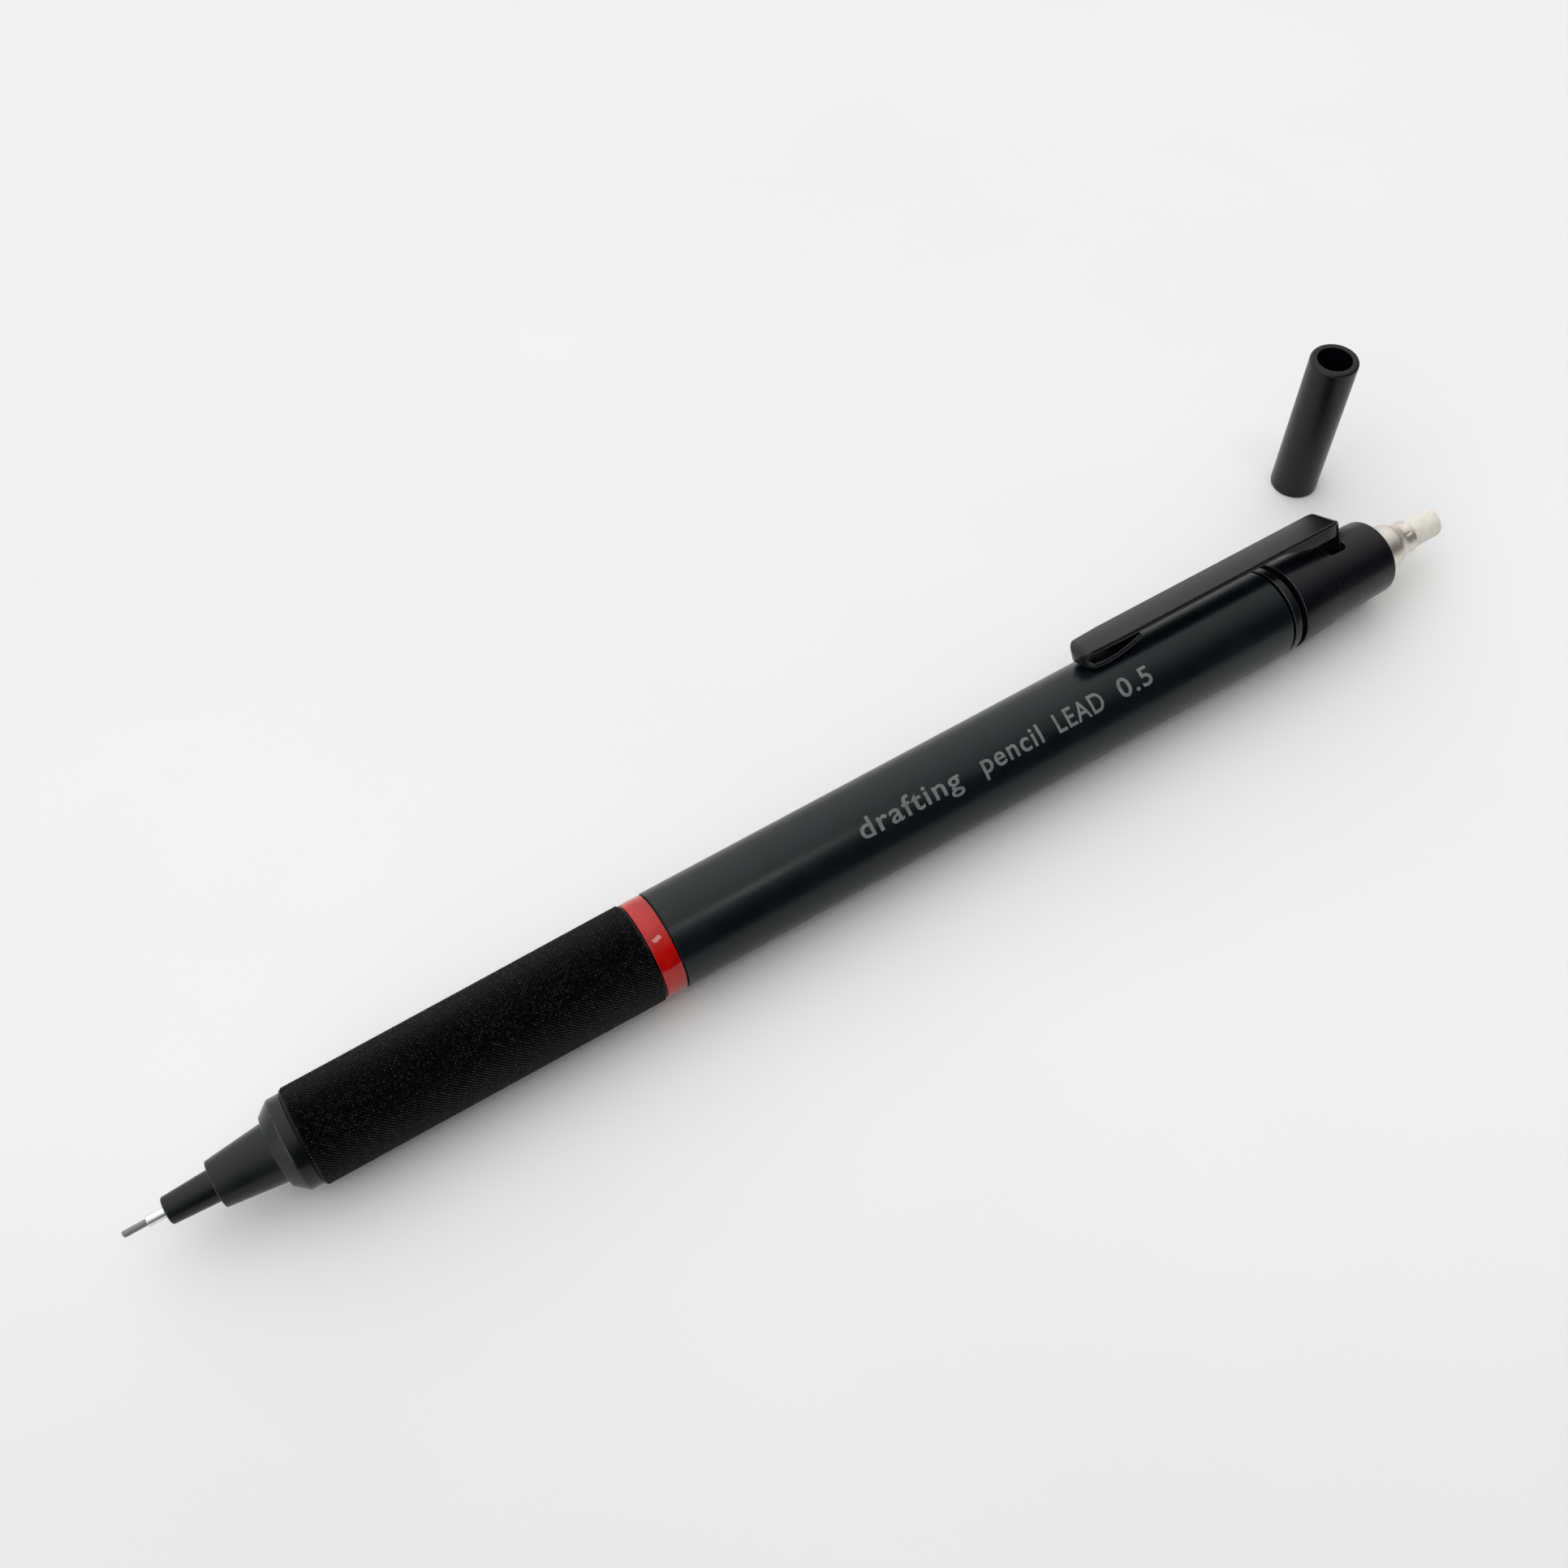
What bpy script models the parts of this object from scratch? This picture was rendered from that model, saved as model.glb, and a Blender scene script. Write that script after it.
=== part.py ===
"""A clutch pencil for technical drawing, lying on a table beside its push cap.

The pencil lies along world X with its point at low X.  Its axis runs at the
height of the grip's largest radius, so the grip rests on the table at z = 0.
The push cap has been pulled off the back end and stands on its closed end.
The origin is under the middle of the whole group.

Every turned part is described by (distance behind the lead's point, radius)
pairs along the pencil's axis.  The clip is bent from one strip of steel.
"""

import math

import bmesh
import bpy
from mathutils import Matrix, Vector

MM = 0.001

# ---------------------------------------------------------------- clearances
SLIDE_GAP = 0.05        # radial gap of a fitted pair
NEAR_GAP = 0.03         # radial gap of a pressed or lapped pair
FACE_GAP = 0.05         # gap between two end faces that meet
RUN_GAP = 0.10          # radial gap of a guide that something slides in
ROUND_SIDES = 36        # facets of the parts around the axis
SMALL_SIDES = 18        # facets of the thin parts inside
COIL_STEPS = 12         # points in one turn of a spring

# ------------------------------------------------------------- lead and point
LEAD_RADIUS = 0.28
LEAD_LENGTH = 60.0
LEAD_EXPOSED = 2.0
LEAD_PLAY = 0.03        # radial play of the lead in its guides
SLEEVE_WALL = 0.16
SLEEVE_EXPOSED = 1.55
SLEEVE_SEATED = 3.0

TIP_FRONT_RADIUS = 1.17
TIP_REAR_RADIUS = 1.40
TIP_EXPOSED = 4.0
TIP_EDGE = 0.10
TIP_STEM_LENGTH = 2.45
TIP_FLANGE_STEP = 0.50
TIP_SPIGOT_LENGTH = 2.0
TIP_SPIGOT_WALL = 0.35
RETAINER_RADIUS = 0.92
RETAINER_LENGTH = 2.0
RETAINER_POCKET_WALL = 0.45

# ----------------------------------------------------- mechanism, from inside
CHUCK_RADIUS = 1.00
CHUCK_PLAY = 0.17       # radial room for the lead in the chuck body
SEAT_BORE_GAP = 0.15    # radial room for the chuck in the spring seat
SEAT_LENGTH = 0.8
SEAT_FROM_JAW_FRONT = 3.7
RETURN_WIRE = 0.17
RETURN_CLEAR = 0.28     # radial room between the chuck and the return spring
RETURN_LENGTH = 11.6
RETURN_TURNS = 11
PUSH_TRAVEL = 3.0
JAW_COUNT = 3
JAW_LENGTH = 9.0
JAW_HEAD_LENGTH = 0.8
JAW_HEAD_RADIUS = 1.25
JAW_HEAD_EDGE = 0.15
JAW_CONE_LENGTH = 2.0
JAW_NECK_WALL = 0.41
JAW_SLIT = 0.12
JAW_HINGE_RADIUS = 0.50
JAW_HINGE_GAP = 0.10
JAW_RING_GAP = 0.04     # gap between the closed jaws and the ring's cone
RING_FROM_HEAD = 0.20
CLUTCH_RING_LENGTH = 1.1
CLUTCH_RING_GAP = 0.18  # radial room of the ring in the brass sleeve
BARREL_TUBE_RADIUS = 1.75
BARREL_TUBE_WALL = 0.40
COUPLER_BODY = 3.5
COUPLER_SPIGOT = 5.0
COUPLER_SOCKET = 2.5
COUPLER_PLAY = 0.32     # radial room for the lead in the coupler
COUPLER_GAP = 0.12      # radial room of the coupler in the brass sleeve
SLEEVE_BORE = 1.90
SLEEVE_FRONT_WALL = 0.60
SLEEVE_NECK_WALL = 0.20
SLEEVE_LENGTH = 25.3
SLEEVE_PAST_FOOT = 0.60
CUSHION_TRAVEL = 0.8
CUSHION_LENGTH = 6.8
CUSHION_WIRE = 0.15
CUSHION_CLEAR = 0.11    # radial room between the sleeve's neck and the spring
CUSHION_TURNS = 6

# ------------------------------------------------------------------ the casing
CORE_GAP = 0.15         # radial room for the sleeve in the core
CORE_WALL = 0.75
CORE_PAST_RING = 8.0
CORE_STOP_GAP = 0.08
CORE_STOP_LENGTH = 1.0
GRIP_LENGTH = 30.95
GRIP_FRONT_WALL = 0.89
GRIP_REAR_WALL = 1.10
GRIP_EDGE = 0.12
RING_LENGTH = 1.90
RING_EDGE = 0.06
RING_BELOW_BARREL = 0.03
BARREL_LENGTH = 66.95
BARREL_WALL = 1.05
BARREL_EDGE = 0.10
FRONT_GROOVE = 0.20
SPACER_LENGTH = 0.80
SPACER_EDGE = 0.08
SPACER_BELOW_BARREL = 0.08
REAR_GROOVE = 0.65

# ------------------------------------------------------------------ nose cone
CONE_MOUTH_GAP = 0.07   # radial room for the moving point in the cone
CONE_MOUTH_WALL = 0.56
CONE_ROOT_WALL = 0.65
CONE_LENGTH = 5.05
CONE_EDGE = 0.12
SHOULDER_FOOT_STEP = 0.48
SHOULDER_FOOT_EDGE = 0.10
SHOULDER_BELOW_GRIP = 0.32
SHOULDER_RISE = 1.10
SHOULDER_BAND = 1.10
SPIGOT_LENGTH = 5.0

# ------------------------------------------------------ ferrule and eraser
FERRULE_RADIUS = 1.67
FERRULE_WALL = 0.14
FERRULE_SKIRT_WALL = 0.50
FERRULE_SKIRT_LENGTH = 5.2
FERRULE_FLARE = 1.60
FERRULE_MOUTH = 1.0
FERRULE_PAST_COLLAR = 5.0
ERASER_GAP = 0.04
ERASER_EXPOSED = 3.75
ERASER_SEATED = 4.3
ERASER_ROUND = 0.45
ERASER_STEP = 0.50      # length of the cone inside the ferrule, in front of the eraser

# --------------------------------------------------------------------- collar
COLLAR_BELOW_BARREL = 0.05
COLLAR_TAPER = 0.33
COLLAR_STEP = 0.14
COLLAR_TUBE_TAPER = 0.20
COLLAR_CONE_LENGTH = 4.75
COLLAR_TUBE_LENGTH = 7.3
COLLAR_ROUND = 0.30
COLLAR_EDGE = 0.08
COLLAR_SOCKET_DEPTH = 4.0
INSERT_IN_BARREL = 8.5
INSERT_WALL = 0.65
BUSH_LENGTH = 5.0
BUSH_INSET = 1.5

# ----------------------------------------------------------------------- clip
CLIP_ANGLE = 28.0       # degrees around the axis, from straight up to +Y
CLIP_WIDTH = 3.7
CLIP_THICKNESS = 0.55
CLIP_ABOVE_BARREL = 2.02
CLIP_LENGTH = 31.0
CLIP_NOSE_ROUND = 0.90
CLIP_CORNER = 0.80
CLIP_TONGUE_LENGTH = 7.0
CLIP_TONGUE_LAND = 1.6
CLIP_TONGUE_GAP = 0.12
CLIP_BEND_RADIUS = 0.75
CLIP_SIDE_GAP = 0.12
PLAN_OVERCUT = 0.01     # how far the plan outline passes the strip's ends
SLOT_BEFORE_LEG = 1.75
SLOT_BEHIND_LEG = 0.30
SLOT_FLOOR_WALL = 0.45
SLOT_CORNER = 0.30
LEG_REAR_FROM_STEP = 3.10

# ------------------------------------------------------------------- push cap
CAP_GAP = 0.04
CAP_WALL = 0.71
CAP_LENGTH = 16.9
CAP_BORE_DEPTH = 12.5
CAP_LIP = 0.12
CAP_MOUTH_ROUND = 0.42
CAP_FOOT_ROUND = 0.30
CAP_BEHIND_COLLAR = 4.75
CAP_ASIDE = 14.5

# ------------------------------------------- radii that follow from the others
LEAD_GUIDE = LEAD_RADIUS + LEAD_PLAY
JAW_NECK_RADIUS = LEAD_GUIDE + JAW_NECK_WALL
CHUCK_BORE = LEAD_RADIUS + CHUCK_PLAY
SEAT_BORE = CHUCK_RADIUS + SEAT_BORE_GAP
RETURN_MEAN_RADIUS = CHUCK_RADIUS + RETURN_CLEAR + RETURN_WIRE
COUPLER_BORE = LEAD_RADIUS + COUPLER_PLAY
COUPLER_RADIUS = SLEEVE_BORE - COUPLER_GAP
CLUTCH_RING_RADIUS = SLEEVE_BORE - CLUTCH_RING_GAP
SLEEVE_RADIUS = SLEEVE_BORE + SLEEVE_FRONT_WALL
SLEEVE_NECK_RADIUS = SLEEVE_BORE + SLEEVE_NECK_WALL
CUSHION_MEAN_RADIUS = SLEEVE_NECK_RADIUS + CUSHION_CLEAR + CUSHION_WIRE
CORE_BORE = SLEEVE_RADIUS + CORE_GAP
CORE_STOP_BORE = SLEEVE_NECK_RADIUS + CORE_STOP_GAP
CORE_RADIUS = CORE_BORE + CORE_WALL
CASING_BORE = CORE_RADIUS + SLIDE_GAP
GRIP_FRONT_RADIUS = CASING_BORE + GRIP_FRONT_WALL
GRIP_REAR_RADIUS = CASING_BORE + GRIP_REAR_WALL
BARREL_RADIUS = CASING_BORE + BARREL_WALL
RING_RADIUS = BARREL_RADIUS - RING_BELOW_BARREL
SPACER_RADIUS = BARREL_RADIUS - SPACER_BELOW_BARREL
TIP_FLANGE_RADIUS = TIP_REAR_RADIUS + TIP_FLANGE_STEP
CONE_MOUTH_BORE = TIP_REAR_RADIUS + CONE_MOUTH_GAP
CONE_FLANGE_BORE = TIP_FLANGE_RADIUS + CONE_MOUTH_GAP
CONE_FRONT_RADIUS = CONE_MOUTH_BORE + CONE_MOUTH_WALL
CONE_ROOT_RADIUS = CONE_FLANGE_BORE + CONE_ROOT_WALL
SHOULDER_FOOT_RADIUS = CONE_ROOT_RADIUS + SHOULDER_FOOT_STEP
SHOULDER_RADIUS = GRIP_FRONT_RADIUS - SHOULDER_BELOW_GRIP
FERRULE_SKIRT_RADIUS = BARREL_TUBE_RADIUS + SLIDE_GAP + FERRULE_SKIRT_WALL
ERASER_RADIUS = FERRULE_RADIUS - FERRULE_WALL - ERASER_GAP
COLLAR_BORE = FERRULE_SKIRT_RADIUS + RUN_GAP
COLLAR_FRONT_RADIUS = BARREL_RADIUS - COLLAR_BELOW_BARREL
COLLAR_STEP_RADIUS = COLLAR_FRONT_RADIUS - COLLAR_TAPER
COLLAR_TUBE_RADIUS = COLLAR_STEP_RADIUS - COLLAR_STEP
COLLAR_END_RADIUS = COLLAR_TUBE_RADIUS - COLLAR_TUBE_TAPER
SLOT_FLOOR_RADIUS = COLLAR_BORE + SLOT_FLOOR_WALL
CLIP_RISE = BARREL_RADIUS + CLIP_ABOVE_BARREL
CAP_BORE = FERRULE_RADIUS + CAP_GAP
CAP_RADIUS = CAP_BORE + CAP_WALL

# ------------------------------------------------- places along the axis (mm)
SLEEVE_X = LEAD_EXPOSED
TIP_X = SLEEVE_X + SLEEVE_EXPOSED
CONE_X = TIP_X + TIP_EXPOSED
FLANGE_X = CONE_X + TIP_STEM_LENGTH + FACE_GAP
SHOULDER_X = CONE_X + CONE_LENGTH
BAND_X = SHOULDER_X + SHOULDER_RISE
GRIP_X = BAND_X + SHOULDER_BAND + FACE_GAP
CONE_END_X = GRIP_X + SPIGOT_LENGTH
CORE_X = CONE_END_X + FACE_GAP
RING_X = GRIP_X + GRIP_LENGTH + FACE_GAP
BARREL_X = RING_X + RING_LENGTH + FACE_GAP
BARREL_END_X = BARREL_X + BARREL_LENGTH
SPACER_X = BARREL_END_X + FRONT_GROOVE
COLLAR_X = SPACER_X + SPACER_LENGTH + REAR_GROOVE
COLLAR_STEP_X = COLLAR_X + COLLAR_CONE_LENGTH
COLLAR_END_X = COLLAR_STEP_X + COLLAR_TUBE_LENGTH
MECH_X = SHOULDER_X + SLEEVE_PAST_FOOT
TIP_END_X = MECH_X + TIP_SPIGOT_LENGTH
JAW_X = TIP_END_X + PUSH_TRAVEL + RUN_GAP + 2 * FACE_GAP
HINGE_X = JAW_X + JAW_LENGTH + JAW_HINGE_GAP
SEAT_X = JAW_X + SEAT_FROM_JAW_FRONT
RETURN_X = SEAT_X + SEAT_LENGTH + FACE_GAP
COUPLER_X = RETURN_X + RETURN_LENGTH + FACE_GAP
TUBE_X = COUPLER_X + COUPLER_BODY + FACE_GAP
CHUCK_END_X = COUPLER_X + COUPLER_SOCKET
CORE_STOP_X = MECH_X + SLEEVE_LENGTH - CORE_STOP_LENGTH - CUSHION_TRAVEL
CUSHION_X = CORE_STOP_X - FACE_GAP - CUSHION_LENGTH
MECH_END_X = MECH_X + SLEEVE_LENGTH
FERRULE_END_X = COLLAR_END_X + FERRULE_PAST_COLLAR
ERASER_END_X = FERRULE_END_X + ERASER_EXPOSED
ERASER_X = FERRULE_END_X - ERASER_SEATED
FLARE_END_X = FERRULE_END_X - FERRULE_MOUTH
FLARE_X = FLARE_END_X - FERRULE_FLARE
SKIRT_X = FLARE_X - FERRULE_SKIRT_LENGTH
LEG_REAR_X = COLLAR_STEP_X + LEG_REAR_FROM_STEP
CLIP_NOSE_X = LEG_REAR_X - CLIP_LENGTH
CAP_X = COLLAR_END_X + CAP_BEHIND_COLLAR
AXIS_HEIGHT = max(GRIP_REAR_RADIUS, BARREL_RADIUS)
TUBE_END_X = ERASER_X - 2 * FACE_GAP
CENTRE_X = 0.5 * ERASER_END_X
CENTRE_Y = 0.5 * (CAP_ASIDE + CAP_RADIUS - AXIS_HEIGHT)

PENCIL_TURN = Matrix.Rotation(math.radians(90.0), 4, "Y")


def axis_point(x):
    """World place, in metres, of the axis at a distance x behind the lead's point."""
    return Vector((x - CENTRE_X, -CENTRE_Y, AXIS_HEIGHT)) * MM


def arc(centre_x, centre_r, radius, start, end, steps=4):
    """Points of an arc in the (x, radius) plane, angles in degrees."""
    points = []
    for i in range(steps + 1):
        angle = math.radians(start + (end - start) * i / steps)
        points.append((centre_x + radius * math.cos(angle), centre_r + radius * math.sin(angle)))
    return points


# ------------------------------------------------------------------ materials
def material(name, colour, roughness, metallic=0.0):
    """A Principled material of one colour."""
    mat = bpy.data.materials.new(name)
    mat.use_nodes = True
    shader = mat.node_tree.nodes["Principled BSDF"]
    shader.inputs["Base Color"].default_value = (*colour, 1.0)
    shader.inputs["Roughness"].default_value = roughness
    shader.inputs["Metallic"].default_value = metallic
    mat.diffuse_color = (*colour, 1.0)
    return mat


# -------------------------------------------------------------------- helpers
def new_collection(name):
    """A collection linked into the scene."""
    group = bpy.data.collections.new(name)
    bpy.context.scene.collection.children.link(group)
    return group


def finish(obj, mat, angle=35.0):
    """Put an object in the part's collection, with its material and smooth faces."""
    PART.objects.link(obj)
    obj.data.materials.clear()
    obj.data.materials.append(mat)
    for face in obj.data.polygons:
        face.use_smooth = True
    obj.data.set_sharp_from_angle(angle=math.radians(angle))
    return obj


def bake(obj, name):
    """A mesh object holding what obj's modifiers make of it."""
    bpy.context.view_layer.update()
    graph = bpy.context.evaluated_depsgraph_get()
    mesh = bpy.data.meshes.new_from_object(obj.evaluated_get(graph))
    source = obj.data
    bpy.data.objects.remove(obj)
    if source.users == 0 and isinstance(source, bpy.types.Mesh):
        bpy.data.meshes.remove(source)
    work = bmesh.new()
    work.from_mesh(mesh)
    bmesh.ops.remove_doubles(work, verts=work.verts, dist=1e-7)
    bmesh.ops.recalc_face_normals(work, faces=work.faces)
    work.to_mesh(mesh)
    work.free()
    return bpy.data.objects.new(name, mesh)


def turned(name, profile, origin_x=0.0, closed=True, sides=ROUND_SIDES):
    """A turned solid from (x, radius) points, outer side first, rear to front.

    The object's own Z runs rearward along the pencil's axis and its origin
    sits on the axis at origin_x.  A closed profile makes a hollow part; an
    open one starts and ends on the axis.
    """
    mesh = bpy.data.meshes.new(name)
    work = bmesh.new()
    verts = [work.verts.new((r * MM, 0.0, (x - origin_x) * MM)) for x, r in profile]
    pairs = list(zip(verts, verts[1:]))
    if closed:
        pairs.append((verts[-1], verts[0]))
    for first, second in pairs:
        work.edges.new((first, second))
    work.to_mesh(mesh)
    work.free()
    obj = bpy.data.objects.new(name, mesh)
    bpy.context.scene.collection.objects.link(obj)
    screw = obj.modifiers.new("Turn", "SCREW")
    screw.axis = "Z"
    screw.steps = sides
    screw.render_steps = sides
    screw.use_merge_vertices = True
    screw.merge_threshold = 0.000001
    return bake(obj, name)


def on_axis(obj, origin_x=0.0):
    """Lay a turned object along the pencil's axis."""
    obj.matrix_world = Matrix.Translation(axis_point(origin_x)) @ PENCIL_TURN
    return obj


def tube(name, front, rear, outer, inner, mat, sides=ROUND_SIDES, origin_x=0.0):
    """A plain tube along the axis."""
    profile = [(rear, outer), (front, outer), (front, inner), (rear, inner)]
    return finish(on_axis(turned(name, profile, origin_x, sides=sides), origin_x), mat)


def plate(name, outline, thickness):
    """A flat plate, centred on its own XY plane, from an outline in mm."""
    curve = bpy.data.curves.new(name, "CURVE")
    curve.dimensions = "2D"
    curve.fill_mode = "BOTH"
    curve.extrude = 0.5 * thickness * MM
    line = curve.splines.new("POLY")
    line.points.add(len(outline) - 1)
    for point, (u, v) in zip(line.points, outline):
        point.co = (u * MM, v * MM, 0.0, 1.0)
    line.use_cyclic_u = True
    obj = bpy.data.objects.new(name, curve)
    bpy.context.scene.collection.objects.link(obj)
    return bake(obj, name)


def coil(name, radius, wire, length, turns, mat, start_x):
    """A compression spring with its origin on its front end."""
    count = turns * COIL_STEPS
    rise = length - 2 * wire
    curve = bpy.data.curves.new(name, "CURVE")
    curve.dimensions = "3D"
    curve.bevel_depth = wire * MM
    curve.bevel_resolution = 2
    curve.use_fill_caps = True
    line = curve.splines.new("POLY")
    line.points.add(count)
    for i, point in enumerate(line.points):
        angle = math.tau * i / COIL_STEPS
        height = wire + rise * i / count
        point.co = (radius * math.cos(angle) * MM, radius * math.sin(angle) * MM, height * MM, 1.0)
    obj = bpy.data.objects.new(name, curve)
    bpy.context.scene.collection.objects.link(obj)
    return finish(on_axis(bake(obj, name), start_x), mat)


def boolean(obj, cutter, operation):
    """Apply one Boolean between two mesh objects and keep the cutter in its collection."""
    bpy.context.scene.collection.objects.link(obj)
    CUTTERS.objects.link(cutter)
    cutter.hide_render = True
    cutter.display_type = "WIRE"
    step = obj.modifiers.new("Cut", "BOOLEAN")
    step.operation = operation
    step.solver = "EXACT"
    step.object = cutter
    place = obj.matrix_world.copy()
    result = bake(obj, obj.name)
    result.matrix_world = place
    return result


# ------------------------------------------------------------------ the point
def make_lead(mat):
    """The graphite lead, with a worn round point."""
    point = arc(LEAD_RADIUS, 0.0, LEAD_RADIUS, 90.0, 180.0)
    profile = [(LEAD_LENGTH, 0.0), (LEAD_LENGTH, LEAD_RADIUS), *point[:-1], (0.0, 0.0)]
    finish(on_axis(turned("lead", profile, closed=False, sides=SMALL_SIDES)), mat)


def make_lead_sleeve(mat):
    """The thin steel guide that the lead comes out of."""
    rear = TIP_X + SLEEVE_SEATED
    tube("lead_sleeve", SLEEVE_X, rear, LEAD_GUIDE + SLEEVE_WALL, LEAD_GUIDE, mat, SMALL_SIDES)


def make_tip_nose(mat):
    """The moving point holder, which backs into the cone when the lead is pressed."""
    seat = LEAD_GUIDE + SLEEVE_WALL + NEAR_GAP
    seat_end = TIP_X + SLEEVE_SEATED + FACE_GAP
    lead_bore = LEAD_GUIDE + LEAD_PLAY
    spigot = SLEEVE_BORE - SLIDE_GAP
    pocket_front = FLANGE_X + RETAINER_POCKET_WALL
    pocket_rear = MECH_X - FACE_GAP
    outer = [
        (TIP_END_X, spigot),
        (pocket_rear, spigot),
        (pocket_rear, TIP_FLANGE_RADIUS),
        (FLANGE_X, TIP_FLANGE_RADIUS),
        (FLANGE_X, TIP_REAR_RADIUS),
        (CONE_X, TIP_REAR_RADIUS),
        (TIP_X + TIP_EDGE, TIP_FRONT_RADIUS),
        (TIP_X, TIP_FRONT_RADIUS - TIP_EDGE),
    ]
    inner = [
        (TIP_X, seat),
        (seat_end, seat),
        (seat_end, lead_bore),
        (pocket_front, lead_bore),
        (pocket_front, RETAINER_RADIUS + SLIDE_GAP),
        (pocket_rear, RETAINER_RADIUS + SLIDE_GAP),
        (pocket_rear, spigot - TIP_SPIGOT_WALL),
        (TIP_END_X, spigot - TIP_SPIGOT_WALL),
    ]
    finish(on_axis(turned("tip_nose", outer + inner)), mat)


def make_lead_retainer(mat):
    """The rubber ring that holds the lead while the jaws are open."""
    front = FLANGE_X + RETAINER_POCKET_WALL + FACE_GAP
    rear = front + RETAINER_LENGTH
    tube("lead_retainer", front, rear, RETAINER_RADIUS, LEAD_GUIDE, mat, SMALL_SIDES)


# -------------------------------------------------------------- outer casing
def make_nose_cone(mat):
    """The screwed-on cone with its shoulder and the spigot inside the grip."""
    step = FLANGE_X - FACE_GAP
    body_step = MECH_X - 2 * FACE_GAP
    body_bore = SLEEVE_RADIUS + RUN_GAP
    outer = [
        (CONE_END_X, CORE_RADIUS),
        (GRIP_X - FACE_GAP, CORE_RADIUS),
        (GRIP_X - FACE_GAP, SHOULDER_RADIUS),
        (BAND_X, SHOULDER_RADIUS),
        (SHOULDER_X + SHOULDER_FOOT_EDGE, SHOULDER_FOOT_RADIUS),
        (SHOULDER_X, SHOULDER_FOOT_RADIUS - SHOULDER_FOOT_EDGE),
        (SHOULDER_X, CONE_ROOT_RADIUS),
        (CONE_X + CONE_EDGE, CONE_FRONT_RADIUS),
        (CONE_X, CONE_FRONT_RADIUS - CONE_EDGE),
    ]
    inner = [
        (CONE_X, CONE_MOUTH_BORE),
        (step, CONE_MOUTH_BORE),
        (step, CONE_FLANGE_BORE),
        (body_step, CONE_FLANGE_BORE),
        (body_step, body_bore),
        (CONE_END_X, body_bore),
    ]
    finish(on_axis(turned("nose_cone", outer + inner)), mat)


def make_grip_sleeve(mat):
    """The slightly tapered grip tube."""
    rear = GRIP_X + GRIP_LENGTH
    profile = [
        (rear, GRIP_REAR_RADIUS - GRIP_EDGE),
        (rear - GRIP_EDGE, GRIP_REAR_RADIUS),
        (GRIP_X + GRIP_EDGE, GRIP_FRONT_RADIUS),
        (GRIP_X, GRIP_FRONT_RADIUS - GRIP_EDGE),
        (GRIP_X, CASING_BORE),
        (rear, CASING_BORE),
    ]
    finish(on_axis(turned("grip_sleeve", profile)), mat)


def make_grip_core(mat):
    """The inner tube that joins grip, ring and barrel and stops the cushion spring."""
    rear = BARREL_X + CORE_PAST_RING
    profile = [
        (rear, CORE_RADIUS),
        (CORE_X, CORE_RADIUS),
        (CORE_X, CORE_BORE),
        (CORE_STOP_X, CORE_BORE),
        (CORE_STOP_X, CORE_STOP_BORE),
        (CORE_STOP_X + CORE_STOP_LENGTH, CORE_STOP_BORE),
        (CORE_STOP_X + CORE_STOP_LENGTH, CORE_BORE),
        (rear, CORE_BORE),
    ]
    finish(on_axis(turned("grip_core", profile)), mat)


def edged_ring(name, front, rear, outer, edge, mat):
    """A ring on the core or the insert, with both outer edges broken."""
    profile = [
        (rear, outer - edge),
        (rear - edge, outer),
        (front + edge, outer),
        (front, outer - edge),
        (front, CASING_BORE),
        (rear, CASING_BORE),
    ]
    finish(on_axis(turned(name, profile)), mat)


def make_collar_insert(mat):
    """The threaded bush that carries the spacer ring and the collar."""
    front = BARREL_END_X - INSERT_IN_BARREL
    rear = COLLAR_X + COLLAR_SOCKET_DEPTH - FACE_GAP
    tube("collar_insert", front, rear, CORE_RADIUS, CORE_RADIUS - INSERT_WALL, mat)


def make_tube_guide_bush(mat):
    """The plastic bush that the lead tube slides in."""
    front = BARREL_END_X - INSERT_IN_BARREL + BUSH_INSET
    outer = CORE_RADIUS - INSERT_WALL - SLIDE_GAP
    tube("tube_guide_bush", front, front + BUSH_LENGTH, outer, BARREL_TUBE_RADIUS + RUN_GAP, mat)


def clip_frame():
    """Places the clip's own X along the pencil and its own Z out from the axis."""
    lean = Matrix.Rotation(-math.radians(CLIP_ANGLE), 4, "X")
    return Matrix.Translation(axis_point(0.0)) @ lean


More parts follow.
